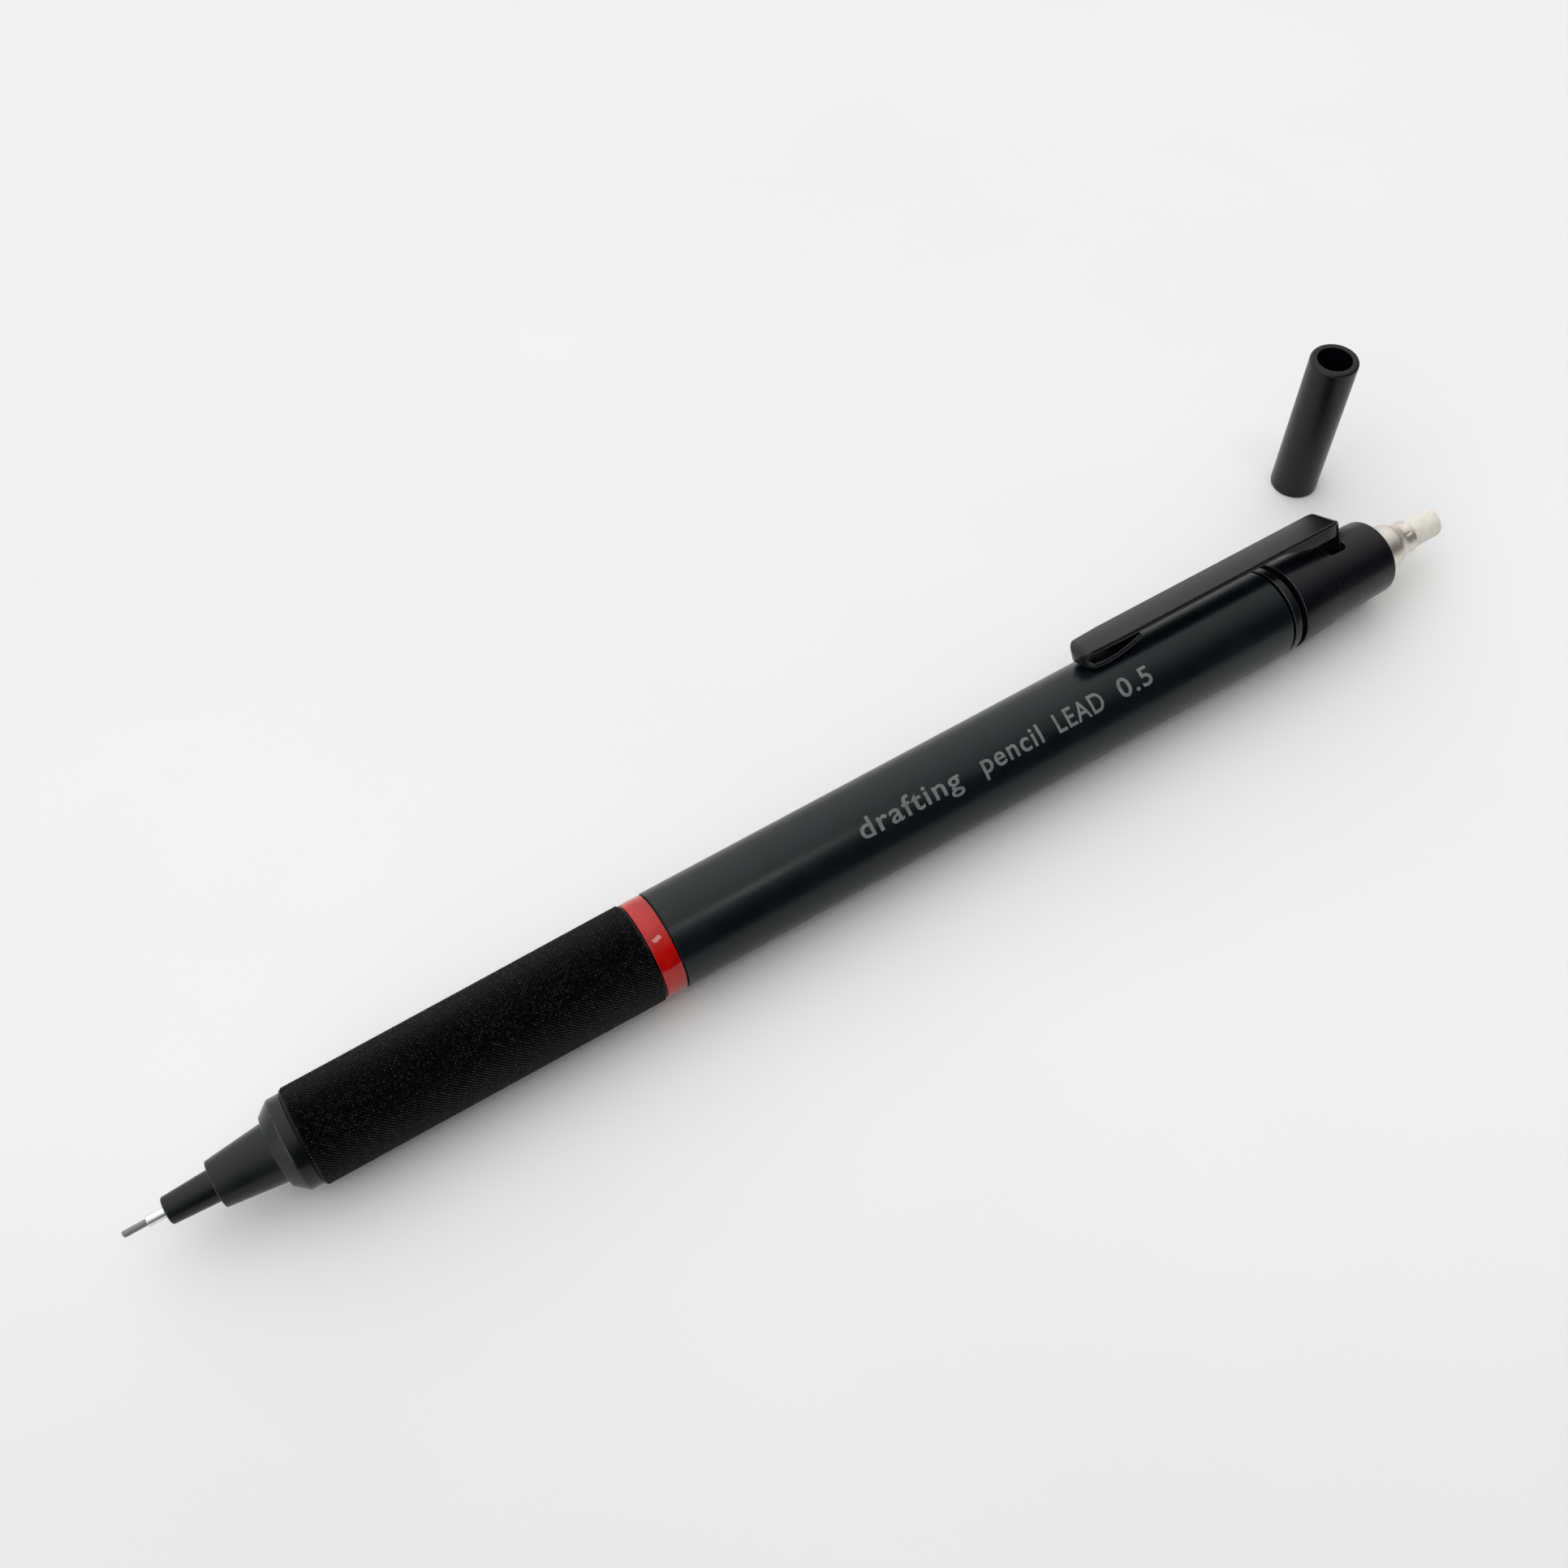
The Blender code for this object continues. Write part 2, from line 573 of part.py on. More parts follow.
def make_clip_collar(mat):
    """The tapered collar at the back end, with the slot that the clip is hooked in."""
    socket_end = COLLAR_X + COLLAR_SOCKET_DEPTH
    rounding = arc(COLLAR_END_X - COLLAR_ROUND, COLLAR_END_RADIUS - COLLAR_ROUND, COLLAR_ROUND, 0.0, 90.0)
    outer = [
        *rounding,
        (COLLAR_STEP_X + COLLAR_EDGE, COLLAR_TUBE_RADIUS),
        (COLLAR_STEP_X, COLLAR_STEP_RADIUS),
        (COLLAR_X + COLLAR_EDGE, COLLAR_FRONT_RADIUS),
        (COLLAR_X, COLLAR_FRONT_RADIUS - COLLAR_EDGE),
    ]
    inner = [
        (COLLAR_X, CASING_BORE),
        (socket_end, CASING_BORE),
        (socket_end, COLLAR_BORE),
        (COLLAR_END_X, COLLAR_BORE),
    ]
    collar = on_axis(turned("clip_collar", outer + inner))
    front = LEG_REAR_X - CLIP_THICKNESS - SLOT_BEFORE_LEG
    rear = LEG_REAR_X + SLOT_BEHIND_LEG
    half = 0.5 * CLIP_WIDTH + CLIP_SIDE_GAP
    inset = half - SLOT_CORNER
    outline = [
        *arc(rear - SLOT_CORNER, inset, SLOT_CORNER, 0.0, 90.0),
        *arc(front + SLOT_CORNER, inset, SLOT_CORNER, 90.0, 180.0),
        *arc(front + SLOT_CORNER, -inset, SLOT_CORNER, 180.0, 270.0),
        *arc(rear - SLOT_CORNER, -inset, SLOT_CORNER, 270.0, 360.0),
    ]
    depth = COLLAR_FRONT_RADIUS + CLIP_THICKNESS - SLOT_FLOOR_RADIUS
    slot = plate("clip_slot_cutter", outline, depth)
    middle = SLOT_FLOOR_RADIUS + 0.5 * depth
    slot.matrix_world = clip_frame() @ Matrix.Translation((0.0, 0.0, middle * MM))
    finish(boolean(collar, slot, "DIFFERENCE"), mat)


def clip_path():
    """Middle line of the clip's strip: tongue, fold, spring arm, bend and leg."""
    half = 0.5 * CLIP_THICKNESS
    arm = CLIP_RISE - half
    land = BARREL_RADIUS + SLIDE_GAP + half
    fold = 0.5 * (arm - land)
    fold_x = CLIP_NOSE_X + fold + half
    tongue_end = CLIP_NOSE_X + CLIP_TONGUE_LENGTH
    lift = arm - CLIP_THICKNESS - CLIP_TONGUE_GAP - land
    run = tongue_end - fold_x - CLIP_TONGUE_LAND
    points = []
    for i in range(9):
        share = 1.0 - i / 8.0
        height = land + lift * share * share * (3.0 - share) * 0.5
        points.append((fold_x + CLIP_TONGUE_LAND + run * share, height))
    for x, h in arc(fold_x, land + fold, fold, 270.0, 90.0, 12):
        points.append((x, h))
    bend = CLIP_BEND_RADIUS - half
    leg = LEG_REAR_X - half
    points.extend(arc(leg - bend, arm - bend, bend, 90.0, 0.0, 5))
    points.append((leg, SLOT_FLOOR_RADIUS + SLIDE_GAP + half))
    return points


def strip_outline(path, thickness):
    """Outline of a strip of even thickness around its middle line."""
    left, right = [], []
    for i, here in enumerate(path):
        before = Vector(path[max(i - 1, 0)])
        after = Vector(path[min(i + 1, len(path) - 1)])
        along = (after - before).normalized()
        side = Vector((-along.y, along.x)) * (0.5 * thickness)
        left.append((here[0] + side.x, here[1] + side.y))
        right.append((here[0] - side.x, here[1] - side.y))
    return left + right[::-1]


def clip_plan():
    """Outline of the clip seen from above, with a round nose and bevelled rear corners."""
    half = 0.5 * CLIP_WIDTH
    inset = half - CLIP_NOSE_ROUND
    rear = LEG_REAR_X + PLAN_OVERCUT
    nose_x = CLIP_NOSE_X - PLAN_OVERCUT + CLIP_NOSE_ROUND
    return [
        (rear, half - CLIP_CORNER),
        (rear - CLIP_CORNER, half),
        *arc(nose_x, inset, CLIP_NOSE_ROUND, 90.0, 180.0, 6),
        *arc(nose_x, -inset, CLIP_NOSE_ROUND, 180.0, 270.0, 6),
        (rear - CLIP_CORNER, -half),
        (rear, CLIP_CORNER - half),
    ]


def make_clip(mat):
    """The clip, bent from a strip; its origin is on the axis that it flexes about."""
    pivot = Vector((LEG_REAR_X - 0.5 * CLIP_THICKNESS, 0.0, COLLAR_END_RADIUS))
    shift = Matrix.Translation(-pivot * MM)
    strip = plate("clip", strip_outline(clip_path(), CLIP_THICKNESS), CLIP_WIDTH)
    strip.data.transform(shift @ Matrix.Rotation(math.radians(90.0), 4, "X"))
    plan = plate("clip_plan_cutter", clip_plan(), 2.0 * CLIP_RISE)
    plan.data.transform(shift @ Matrix.Translation((0.0, 0.0, CLIP_RISE * MM)))
    place = clip_frame() @ Matrix.Translation(pivot * MM)
    strip.matrix_world = place
    plan.matrix_world = place
    finish(boolean(strip, plan, "INTERSECT"), mat)


# -------------------------------------------------------------- the mechanism
def make_mechanism_sleeve(mat):
    """The brass housing of the chuck, with the seat of the return spring inside."""
    neck = CUSHION_X - FACE_GAP
    outer = [
        (MECH_END_X, SLEEVE_NECK_RADIUS),
        (neck, SLEEVE_NECK_RADIUS),
        (neck, SLEEVE_RADIUS),
        (MECH_X, SLEEVE_RADIUS),
    ]
    inner = [
        (MECH_X, SLEEVE_BORE),
        (SEAT_X, SLEEVE_BORE),
        (SEAT_X, SEAT_BORE),
        (SEAT_X + SEAT_LENGTH, SEAT_BORE),
        (SEAT_X + SEAT_LENGTH, SLEEVE_BORE),
        (MECH_END_X, SLEEVE_BORE),
    ]
    finish(on_axis(turned("mechanism_sleeve", outer + inner)), mat)


def jaw_radius(x):
    """Outer radius of the closed jaws at a distance x behind their front face."""
    cone = x - JAW_HEAD_LENGTH
    share = min(max(cone / JAW_CONE_LENGTH, 0.0), 1.0)
    return JAW_HEAD_RADIUS + (JAW_NECK_RADIUS - JAW_HEAD_RADIUS) * share


def make_chuck_jaws(mat):
    """Three jaws around the lead, each with its origin on its own hinge line."""
    profile = [
        (JAW_X + JAW_LENGTH, JAW_NECK_RADIUS),
        (JAW_X + JAW_HEAD_LENGTH + JAW_CONE_LENGTH, JAW_NECK_RADIUS),
        (JAW_X + JAW_HEAD_LENGTH, JAW_HEAD_RADIUS),
        (JAW_X + JAW_HEAD_EDGE, JAW_HEAD_RADIUS),
        (JAW_X, JAW_HEAD_RADIUS - JAW_HEAD_EDGE),
        (JAW_X, LEAD_GUIDE),
        (JAW_X + JAW_LENGTH, LEAD_GUIDE),
    ]
    sector = math.radians(180.0 / JAW_COUNT)
    reach = 3.0 * JAW_HEAD_RADIUS
    apex = 0.5 * JAW_SLIT / math.sin(sector)
    wedge = [
        (apex, 0.0),
        (apex + reach * math.cos(sector), reach * math.sin(sector)),
        (apex + reach * math.cos(sector), -reach * math.sin(sector)),
    ]
    for i in range(JAW_COUNT):
        name = f"chuck_jaw_{i + 1}"
        turn = Matrix.Rotation(math.tau * i / JAW_COUNT, 4, "Z")
        solid = turned(name, profile, HINGE_X, sides=SMALL_SIDES)
        cutter = plate(f"{name}_cutter", wedge, 3.0 * JAW_LENGTH)
        cutter.matrix_world = turn
        jaw = boolean(solid, cutter, "INTERSECT")
        hinge = turn @ Matrix.Translation((JAW_HINGE_RADIUS * MM, 0.0, 0.0))
        jaw.data.transform(hinge.inverted())
        jaw.matrix_world = Matrix.Translation(axis_point(HINGE_X)) @ PENCIL_TURN @ hinge
        finish(jaw, mat)


def make_clutch_ring(mat):
    """The ring whose cone closes the jaws."""
    front = JAW_X + JAW_HEAD_LENGTH + RING_FROM_HEAD
    rear = front + CLUTCH_RING_LENGTH
    profile = [
        (rear, CLUTCH_RING_RADIUS),
        (front, CLUTCH_RING_RADIUS),
        (front, jaw_radius(front - JAW_X) + JAW_RING_GAP),
        (rear, jaw_radius(rear - JAW_X) + JAW_RING_GAP),
    ]
    finish(on_axis(turned("clutch_ring", profile, front), front), mat)


def make_chuck_body(mat):
    """The tube that the jaws spring from."""
    tube("chuck_body", HINGE_X, CHUCK_END_X, CHUCK_RADIUS, CHUCK_BORE, mat, SMALL_SIDES)


def make_tube_coupler(mat):
    """Joins the chuck to the lead tube and takes the return spring's push."""
    spigot = BARREL_TUBE_RADIUS - BARREL_TUBE_WALL - SLIDE_GAP
    body_end = COUPLER_X + COUPLER_BODY
    socket_end = CHUCK_END_X + FACE_GAP
    profile = [
        (body_end + COUPLER_SPIGOT, spigot),
        (body_end, spigot),
        (body_end, COUPLER_RADIUS),
        (COUPLER_X, COUPLER_RADIUS),
        (COUPLER_X, CHUCK_RADIUS + SLIDE_GAP),
        (socket_end, CHUCK_RADIUS + SLIDE_GAP),
        (socket_end, COUPLER_BORE),
        (body_end + COUPLER_SPIGOT, COUPLER_BORE),
    ]
    finish(on_axis(turned("tube_coupler", profile, sides=SMALL_SIDES)), mat)


def make_lead_tube(mat):
    """The long tube that holds spare leads and carries the push to the chuck."""
    inner = BARREL_TUBE_RADIUS - BARREL_TUBE_WALL
    tube("lead_tube", TUBE_X, TUBE_END_X, BARREL_TUBE_RADIUS, inner, mat, SMALL_SIDES)


# ---------------------------------------------------------------- back end
def make_eraser_ferrule(mat):
    """The flared metal cup that holds the eraser and takes the push cap."""
    bore = FERRULE_RADIUS - FERRULE_WALL
    skirt_bore = BARREL_TUBE_RADIUS + SLIDE_GAP
    stop = ERASER_X - FACE_GAP
    outer = [
        (FERRULE_END_X, FERRULE_RADIUS),
        (FLARE_END_X, FERRULE_RADIUS),
        (FLARE_X, FERRULE_SKIRT_RADIUS),
        (SKIRT_X, FERRULE_SKIRT_RADIUS),
    ]
    inner = [
        (SKIRT_X, skirt_bore),
        (stop, skirt_bore),
        (stop + ERASER_STEP, bore),
        (FERRULE_END_X, bore),
    ]
    finish(on_axis(turned("eraser_ferrule", outer + inner)), mat)


def make_eraser(mat):
    """The small eraser, with its outer edge worn round."""
    rounding = arc(ERASER_END_X - ERASER_ROUND, ERASER_RADIUS - ERASER_ROUND, ERASER_ROUND, 0.0, 90.0)
    front = ERASER_X + ERASER_STEP
    profile = [(ERASER_END_X, 0.0), *rounding, (front, ERASER_RADIUS), (front, 0.0)]
    finish(on_axis(turned("eraser", profile, closed=False, sides=SMALL_SIDES)), mat)


def make_push_cap(mat):
    """The push cap, standing on its closed end with its mouth up."""
    mouth = arc(CAP_LENGTH - CAP_MOUTH_ROUND, CAP_RADIUS - CAP_MOUTH_ROUND, CAP_MOUTH_ROUND, 0.0, 90.0)
    foot = arc(CAP_FOOT_ROUND, CAP_RADIUS - CAP_FOOT_ROUND, CAP_FOOT_ROUND, 90.0, 180.0)
    floor = CAP_LENGTH - CAP_BORE_DEPTH
    profile = [
        (floor, 0.0),
        (floor, CAP_BORE),
        (CAP_LENGTH - CAP_LIP, CAP_BORE),
        (CAP_LENGTH, CAP_BORE + CAP_LIP),
        *mouth,
        *foot,
        (0.0, 0.0),
    ]
    cap = turned("push_cap", profile, closed=False)
    place = Vector((CAP_X - CENTRE_X, CAP_ASIDE - CENTRE_Y, 0.0))
    cap.matrix_world = Matrix.Translation(place * MM)
    finish(cap, mat)


def build():
    """Make every sub-part of the pencil and its cap."""
    black_cone = material("black_satin_brass", (0.012, 0.013, 0.014), 0.42, 0.55)
    black_grip = material("black_knurled_brass", (0.006, 0.006, 0.007), 0.62, 0.45)
    black_barrel = material("charcoal_matt_lacquer", (0.020, 0.023, 0.025), 0.50, 0.25)
    black_clip = material("black_lacquered_steel", (0.018, 0.018, 0.018), 0.38, 0.55)
    black_spacer = material("black_matt_steel", (0.022, 0.022, 0.022), 0.48, 0.50)
    red = material("red_gloss_lacquer", (0.62, 0.015, 0.015), 0.12)
    steel = material("polished_steel", (0.62, 0.62, 0.63), 0.22, 1.0)
    spring_steel = material("spring_steel", (0.45, 0.45, 0.46), 0.30, 1.0)
    brass = material("plain_brass", (0.72, 0.52, 0.22), 0.32, 1.0)
    nickel = material("nickel_plate", (0.58, 0.55, 0.51), 0.26, 1.0)
    graphite = material("graphite", (0.16, 0.16, 0.17), 0.38, 0.30)
    rubber = material("brown_rubber", (0.09, 0.05, 0.03), 0.80)
    plastic = material("white_acetal", (0.82, 0.82, 0.80), 0.40)
    eraser = material("white_vinyl", (0.84, 0.83, 0.77), 0.72)

    make_lead(graphite)
    make_lead_sleeve(steel)
    make_tip_nose(black_cone)
    make_lead_retainer(rubber)
    make_nose_cone(black_cone)
    make_grip_sleeve(black_grip)
    make_grip_core(brass)
    edged_ring("red_ring", RING_X, RING_X + RING_LENGTH, RING_RADIUS, RING_EDGE, red)
    edged_ring("barrel", BARREL_X, BARREL_END_X, BARREL_RADIUS, BARREL_EDGE, black_barrel)
    spacer_end = SPACER_X + SPACER_LENGTH
    edged_ring("spacer_ring", SPACER_X, spacer_end, SPACER_RADIUS, SPACER_EDGE, black_spacer)
    make_collar_insert(black_cone)
    make_tube_guide_bush(plastic)
    make_clip_collar(black_spacer)
    make_clip(black_clip)
    make_mechanism_sleeve(brass)
    coil("cushion_spring", CUSHION_MEAN_RADIUS, CUSHION_WIRE, CUSHION_LENGTH, CUSHION_TURNS,
         spring_steel, CUSHION_X)
    make_chuck_jaws(brass)
    make_clutch_ring(brass)
    make_chuck_body(brass)
    coil("return_spring", RETURN_MEAN_RADIUS, RETURN_WIRE, RETURN_LENGTH, RETURN_TURNS,
         spring_steel, RETURN_X)
    make_tube_coupler(plastic)
    make_lead_tube(plastic)
    make_eraser_ferrule(nickel)
    make_eraser(eraser)
    make_push_cap(black_spacer)


for old in list(bpy.data.objects):
    bpy.data.objects.remove(old)

PART = new_collection("clutch_pencil")
CUTTERS = new_collection("cutters")
build()
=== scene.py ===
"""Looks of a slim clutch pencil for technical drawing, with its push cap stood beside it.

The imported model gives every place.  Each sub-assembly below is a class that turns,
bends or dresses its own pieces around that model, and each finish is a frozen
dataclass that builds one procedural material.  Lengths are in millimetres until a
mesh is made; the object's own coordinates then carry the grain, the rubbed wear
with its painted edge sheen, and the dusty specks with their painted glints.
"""

from __future__ import annotations

import logging
import math
from dataclasses import dataclass, field
from enum import Enum
from typing import Any, Callable, Sequence

import bmesh
import bpy
import numpy as np
from mathutils import Matrix, Vector


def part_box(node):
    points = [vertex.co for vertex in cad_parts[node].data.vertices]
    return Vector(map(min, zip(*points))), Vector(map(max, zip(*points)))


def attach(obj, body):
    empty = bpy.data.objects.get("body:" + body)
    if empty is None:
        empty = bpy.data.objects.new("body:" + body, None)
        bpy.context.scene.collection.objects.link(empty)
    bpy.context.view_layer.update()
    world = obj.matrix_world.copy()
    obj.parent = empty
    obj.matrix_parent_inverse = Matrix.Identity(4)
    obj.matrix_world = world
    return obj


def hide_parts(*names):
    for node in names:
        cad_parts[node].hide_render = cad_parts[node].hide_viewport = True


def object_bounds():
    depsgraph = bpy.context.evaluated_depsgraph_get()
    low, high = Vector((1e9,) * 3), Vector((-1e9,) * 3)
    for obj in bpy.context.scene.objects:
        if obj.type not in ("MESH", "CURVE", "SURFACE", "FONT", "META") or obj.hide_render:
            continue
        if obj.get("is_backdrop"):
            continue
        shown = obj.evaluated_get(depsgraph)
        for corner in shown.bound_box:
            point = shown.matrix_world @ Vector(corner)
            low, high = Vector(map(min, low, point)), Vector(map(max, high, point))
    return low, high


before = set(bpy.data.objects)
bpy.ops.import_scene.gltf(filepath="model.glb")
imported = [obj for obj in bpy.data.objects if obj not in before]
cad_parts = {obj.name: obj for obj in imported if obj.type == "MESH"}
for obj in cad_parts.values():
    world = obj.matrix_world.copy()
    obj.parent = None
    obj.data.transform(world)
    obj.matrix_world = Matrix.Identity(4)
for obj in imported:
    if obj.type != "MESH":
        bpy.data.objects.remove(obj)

MM = 0.001
LOG = logging.getLogger("clutch_pencil")

# Gap between the brass core and whatever slides on it, in millimetres.
CORE_PLAY = 0.05
# How far the clip leans off the top of the pencil, in degrees.
CLIP_LEAN = 28.0
# A coat's darker, lighter and glinting places, as shares of its colour.
COAT_SHADES = (0.78, 1.25, 1.9)
# The values that most of a noise keeps between.
NOISE_SWING = (0.3, 0.7)

Triple = tuple[float, float, float]
Colour = Triple
FullColour = tuple[float, float, float, float]
Reshape = Callable[[np.ndarray, np.ndarray, np.ndarray], tuple[np.ndarray, np.ndarray]]
ProfilePoint = tuple[float, float, float]


# ------------------------------------------------------------------ geometry
class Body(Enum):
    """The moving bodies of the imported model."""

    CASING = "casing"
    CLIP = "clip"
    CAP = "cap"
    CARRIAGE = "carriage"
    PLUNGER = "plunger"
    LEAD = "lead"
    ERASER = "eraser"


@dataclass(frozen=True)
class Span:
    """Where one round node lies along the pencil, in millimetres.

    Args:
        front: place of its front end along X.
        rear: place of its rear end along X.
        radius: its largest radius.
    """

    front: float
    rear: float
    radius: float

    @property
    def length(self) -> float:
        """Length along the axis."""
        return self.rear - self.front


def span_of(node: str) -> Span:
    """Read a node's place from its box.

    Args:
        node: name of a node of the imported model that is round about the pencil's axis.

    Returns:
        Its span in millimetres.
    """
    low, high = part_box(node)
    return Span(low.x / MM, high.x / MM, 0.5 * (high.z - low.z) / MM)


def core_bore() -> float:
    """Inner radius of everything that slides on to the brass core."""
    return span_of("grip_core").radius + CORE_PLAY


def clip_directions() -> tuple[Vector, Vector]:
    """Directions at the clip, which leans off the top of the pencil.

    Returns:
        The way out from the axis through the clip, and the way across the clip.
    """
    lean = math.radians(CLIP_LEAN)
    out = Vector((0.0, math.sin(lean), math.cos(lean)))
    side = Vector((0.0, math.cos(lean), -math.sin(lean)))
    return out, side


def round_corners(steps: int) -> list[tuple[int, int, float]]:
    """Signs and angles of the points on a rectangle's four round corners.

    Args:
        steps: points on each corner, less one.

    Returns:
        For each point, its corner's sign along both sides and its angle in radians.
    """
    signs = ((1, 1), (-1, 1), (-1, -1), (1, -1))
    return [(first, second, 0.5 * math.pi * (quarter + k / steps))
            for quarter, (first, second) in enumerate(signs)
            for k in range(steps + 1)]


@dataclass(frozen=True)
class Axle:
    """A straight line that round pieces are turned about.

    Args:
        origin: a point on it, in millimetres.
        along: unit direction of growing distance.
        zero: unit direction that angle zero points in.
        quarter: unit direction that a quarter turn points in.
    """

    origin: Vector
    along: Vector
    zero: Vector
    quarter: Vector

    def points(self, distance: np.ndarray, radius: np.ndarray, angle: np.ndarray) -> np.ndarray:
        """Places around the line.

        Args:
            distance: distances along the line.
            radius: distances from the line.
            angle: angles about it, in radians.

        Returns:
            An array of points in millimetres, one row each.
        """
        along = np.outer(distance, np.array(self.along))
        side = np.outer(radius * np.cos(angle), np.array(self.zero))
        side += np.outer(radius * np.sin(angle), np.array(self.quarter))
        return np.array(self.origin) + along + side


def pencil_axle() -> Axle:
    """The pencil's own axis.

    Returns:
        An axle whose angle zero is straight up and whose quarter turn is towards -Y.
    """
    low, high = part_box("barrel")
    origin = Vector((0.0, 0.5 * (low.y + high.y) / MM, 0.5 * (low.z + high.z) / MM))
    return Axle(origin, Vector((1, 0, 0)), Vector((0, 0, 1)), Vector((0, -1, 0)))


def cap_axle() -> Axle:
    """The standing cap's axis.

    Returns:
        An axle whose distances are measured up from the cap's foot.
    """
    low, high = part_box("push_cap")
    origin = Vector((0.5 * (low.x + high.x) / MM, 0.5 * (low.y + high.y) / MM, low.z / MM))
    return Axle(origin, Vector((0, 0, 1)), Vector((1, 0, 0)), Vector((0, 1, 0)))


@dataclass(frozen=True)
class Corner:
    """One corner of a turned profile.

    Args:
        x: distance along the axle.
        r: radius.
        soft: radius of the rounding that breaks the corner, nought for a sharp one.
        rub_and_sheen: how much that corner is lightened, from 0 to 1, for rubbed wear and a painted edge
            sheen.
    """

    x: float
    r: float
    soft: float = 0.0
    rub_and_sheen: float = 0.0


def soften(corners: Sequence[Corner], closed: bool = True, steps: int = 5) -> list[ProfilePoint]:
    """Round the corners of a profile.

    Args:
        corners: the corners in order.
        closed: whether the last corner joins the first.
        steps: points on each rounding, less one.

    Returns:
        Points of (distance, radius, share of rubbed wear and painted edge sheen).
    """
    points: list[ProfilePoint] = []
    count = len(corners)
    for i, corner in enumerate(corners):
        here = Vector((corner.x, corner.r))
        at_end = not closed and i in (0, count - 1)
        if corner.soft <= 0.0 or at_end:
            points.append((corner.x, corner.r, corner.rub_and_sheen))
            continue
        before = corners[i - 1]
        after = corners[(i + 1) % count]
        back = Vector((before.x, before.r)) - here
        ahead = Vector((after.x, after.r)) - here
        half = 0.5 * back.angle(ahead)
        reach = corner.soft / math.tan(half)
        reach = min(reach, 0.49 * back.length, 0.49 * ahead.length)
        start = here + back.normalized() * reach
        end = here + ahead.normalized() * reach
        for k in range(steps + 1):
            t = k / steps
            spot = start * (1 - t) ** 2 + here * 2 * t * (1 - t) + end * t * t
            points.append((spot.x, spot.y, corner.rub_and_sheen * 4 * t * (1 - t)))
    return points


def new_object(name: str, verts: np.ndarray, faces: Sequence[Sequence[int]]) -> bpy.types.Object:
    """Make a mesh object, in metres, with outward faces.

    Args:
        name: the piece's name.
        verts: its points in millimetres.
        faces: vertex numbers of each face.

    Returns:
        The object, linked into the scene.
    """
    mesh = bpy.data.meshes.new(name)
    mesh.from_pydata((verts * MM).tolist(), [], [list(f) for f in faces])
    work = bmesh.new()
    work.from_mesh(mesh)
    bmesh.ops.recalc_face_normals(work, faces=work.faces)
    work.to_mesh(mesh)
    work.free()
    obj = bpy.data.objects.new(name, mesh)
    bpy.context.scene.collection.objects.link(obj)
    return obj


def shade(obj: bpy.types.Object, sharp_angle: float = 32.0) -> None:
    """Smooth an object's faces, keeping its sharp edges.

    Args:
        obj: the piece.
        sharp_angle: the angle between faces, in degrees, from which an edge stays sharp.
    """
    for face in obj.data.polygons:
        face.use_smooth = True
    obj.data.set_sharp_from_angle(angle=math.radians(sharp_angle))


def store(obj: bpy.types.Object, name: str, values: np.ndarray) -> None:
    """Keep one number for each vertex as an attribute that a finish can read."""
    layer = obj.data.attributes.new(name, "FLOAT", "POINT")
    layer.data.foreach_set("value", values.astype(np.float32))


def turn(
    name: str,
    axle: Axle,
    profile: Sequence[ProfilePoint],
    closed: bool = True,
    sides: int = 144,
    reshape: Reshape | None = None,
) -> bpy.types.Object:
    """Turn a profile about an axle.

    Args:
        name: the piece's name.
        axle: what it is turned about.
        profile: points of (distance, radius, share of rubbed wear and painted edge sheen).
        closed: whether the profile is a loop; an open one starts and ends on the axle.
        sides: facets around.
        reshape: changes (distance, radius) at each (distance, radius, angle), for dents and burrs.

    Returns:
        The smooth object, with that share of rubbed wear and painted edge sheen kept as an attribute.
    """
    distance: list[float] = []
    radius: list[float] = []
    angle: list[float] = []
    rub_and_sheen: list[float] = []
    rows: list[list[int]] = []
    for x, r, rubbed_and_sheen in profile:
        count = 1 if r < 1e-6 else sides
        rows.append([len(distance) + k % count for k in range(sides)])
        for k in range(count):
            distance.append(x)
            radius.append(r)
            angle.append(math.tau * k / sides)
            rub_and_sheen.append(rubbed_and_sheen)
    faces: list[list[int]] = []
    pairs = list(zip(rows, rows[1:]))
    if closed:
        pairs.append((rows[-1], rows[0]))
    for first, second in pairs:
        for k in range(sides):
            n = (k + 1) % sides
            face = list(dict.fromkeys((first[k], first[n], second[n], second[k])))
            if len(face) > 2:
                faces.append(face)
    d, r, a = np.array(distance), np.array(radius), np.array(angle)
    if reshape is not None:
        d, r = reshape(d, r, a)
    obj = new_object(name, axle.points(d, r, a), faces)
    store(obj, "rub_and_sheen", np.array(rub_and_sheen))
    shade(obj)
    return obj


class Merge(Enum):
    """How a second solid changes a first one."""

    CUT = "DIFFERENCE"
    ADD = "UNION"


def merge(obj: bpy.types.Object, other: bpy.types.Object, how: Merge) -> None:
    """Cut one solid out of another or add it, then delete it.

    Args:
        obj: the solid to change.
        other: the solid that changes it.
        how: cut or add.
    """
    step = obj.modifiers.new("merge", "BOOLEAN")
    step.operation = how.value
    step.solver = "EXACT"
    step.object = other
    bpy.context.view_layer.update()
    graph = bpy.context.evaluated_depsgraph_get()
    result = bpy.data.meshes.new_from_object(obj.evaluated_get(graph))
    obj.modifiers.clear()
    if not result.vertices:
        raise RuntimeError(f"{obj.name} was lost when it was merged with {other.name}")
    obj.data = result
    mesh = other.data
    bpy.data.objects.remove(other)
    bpy.data.meshes.remove(mesh)


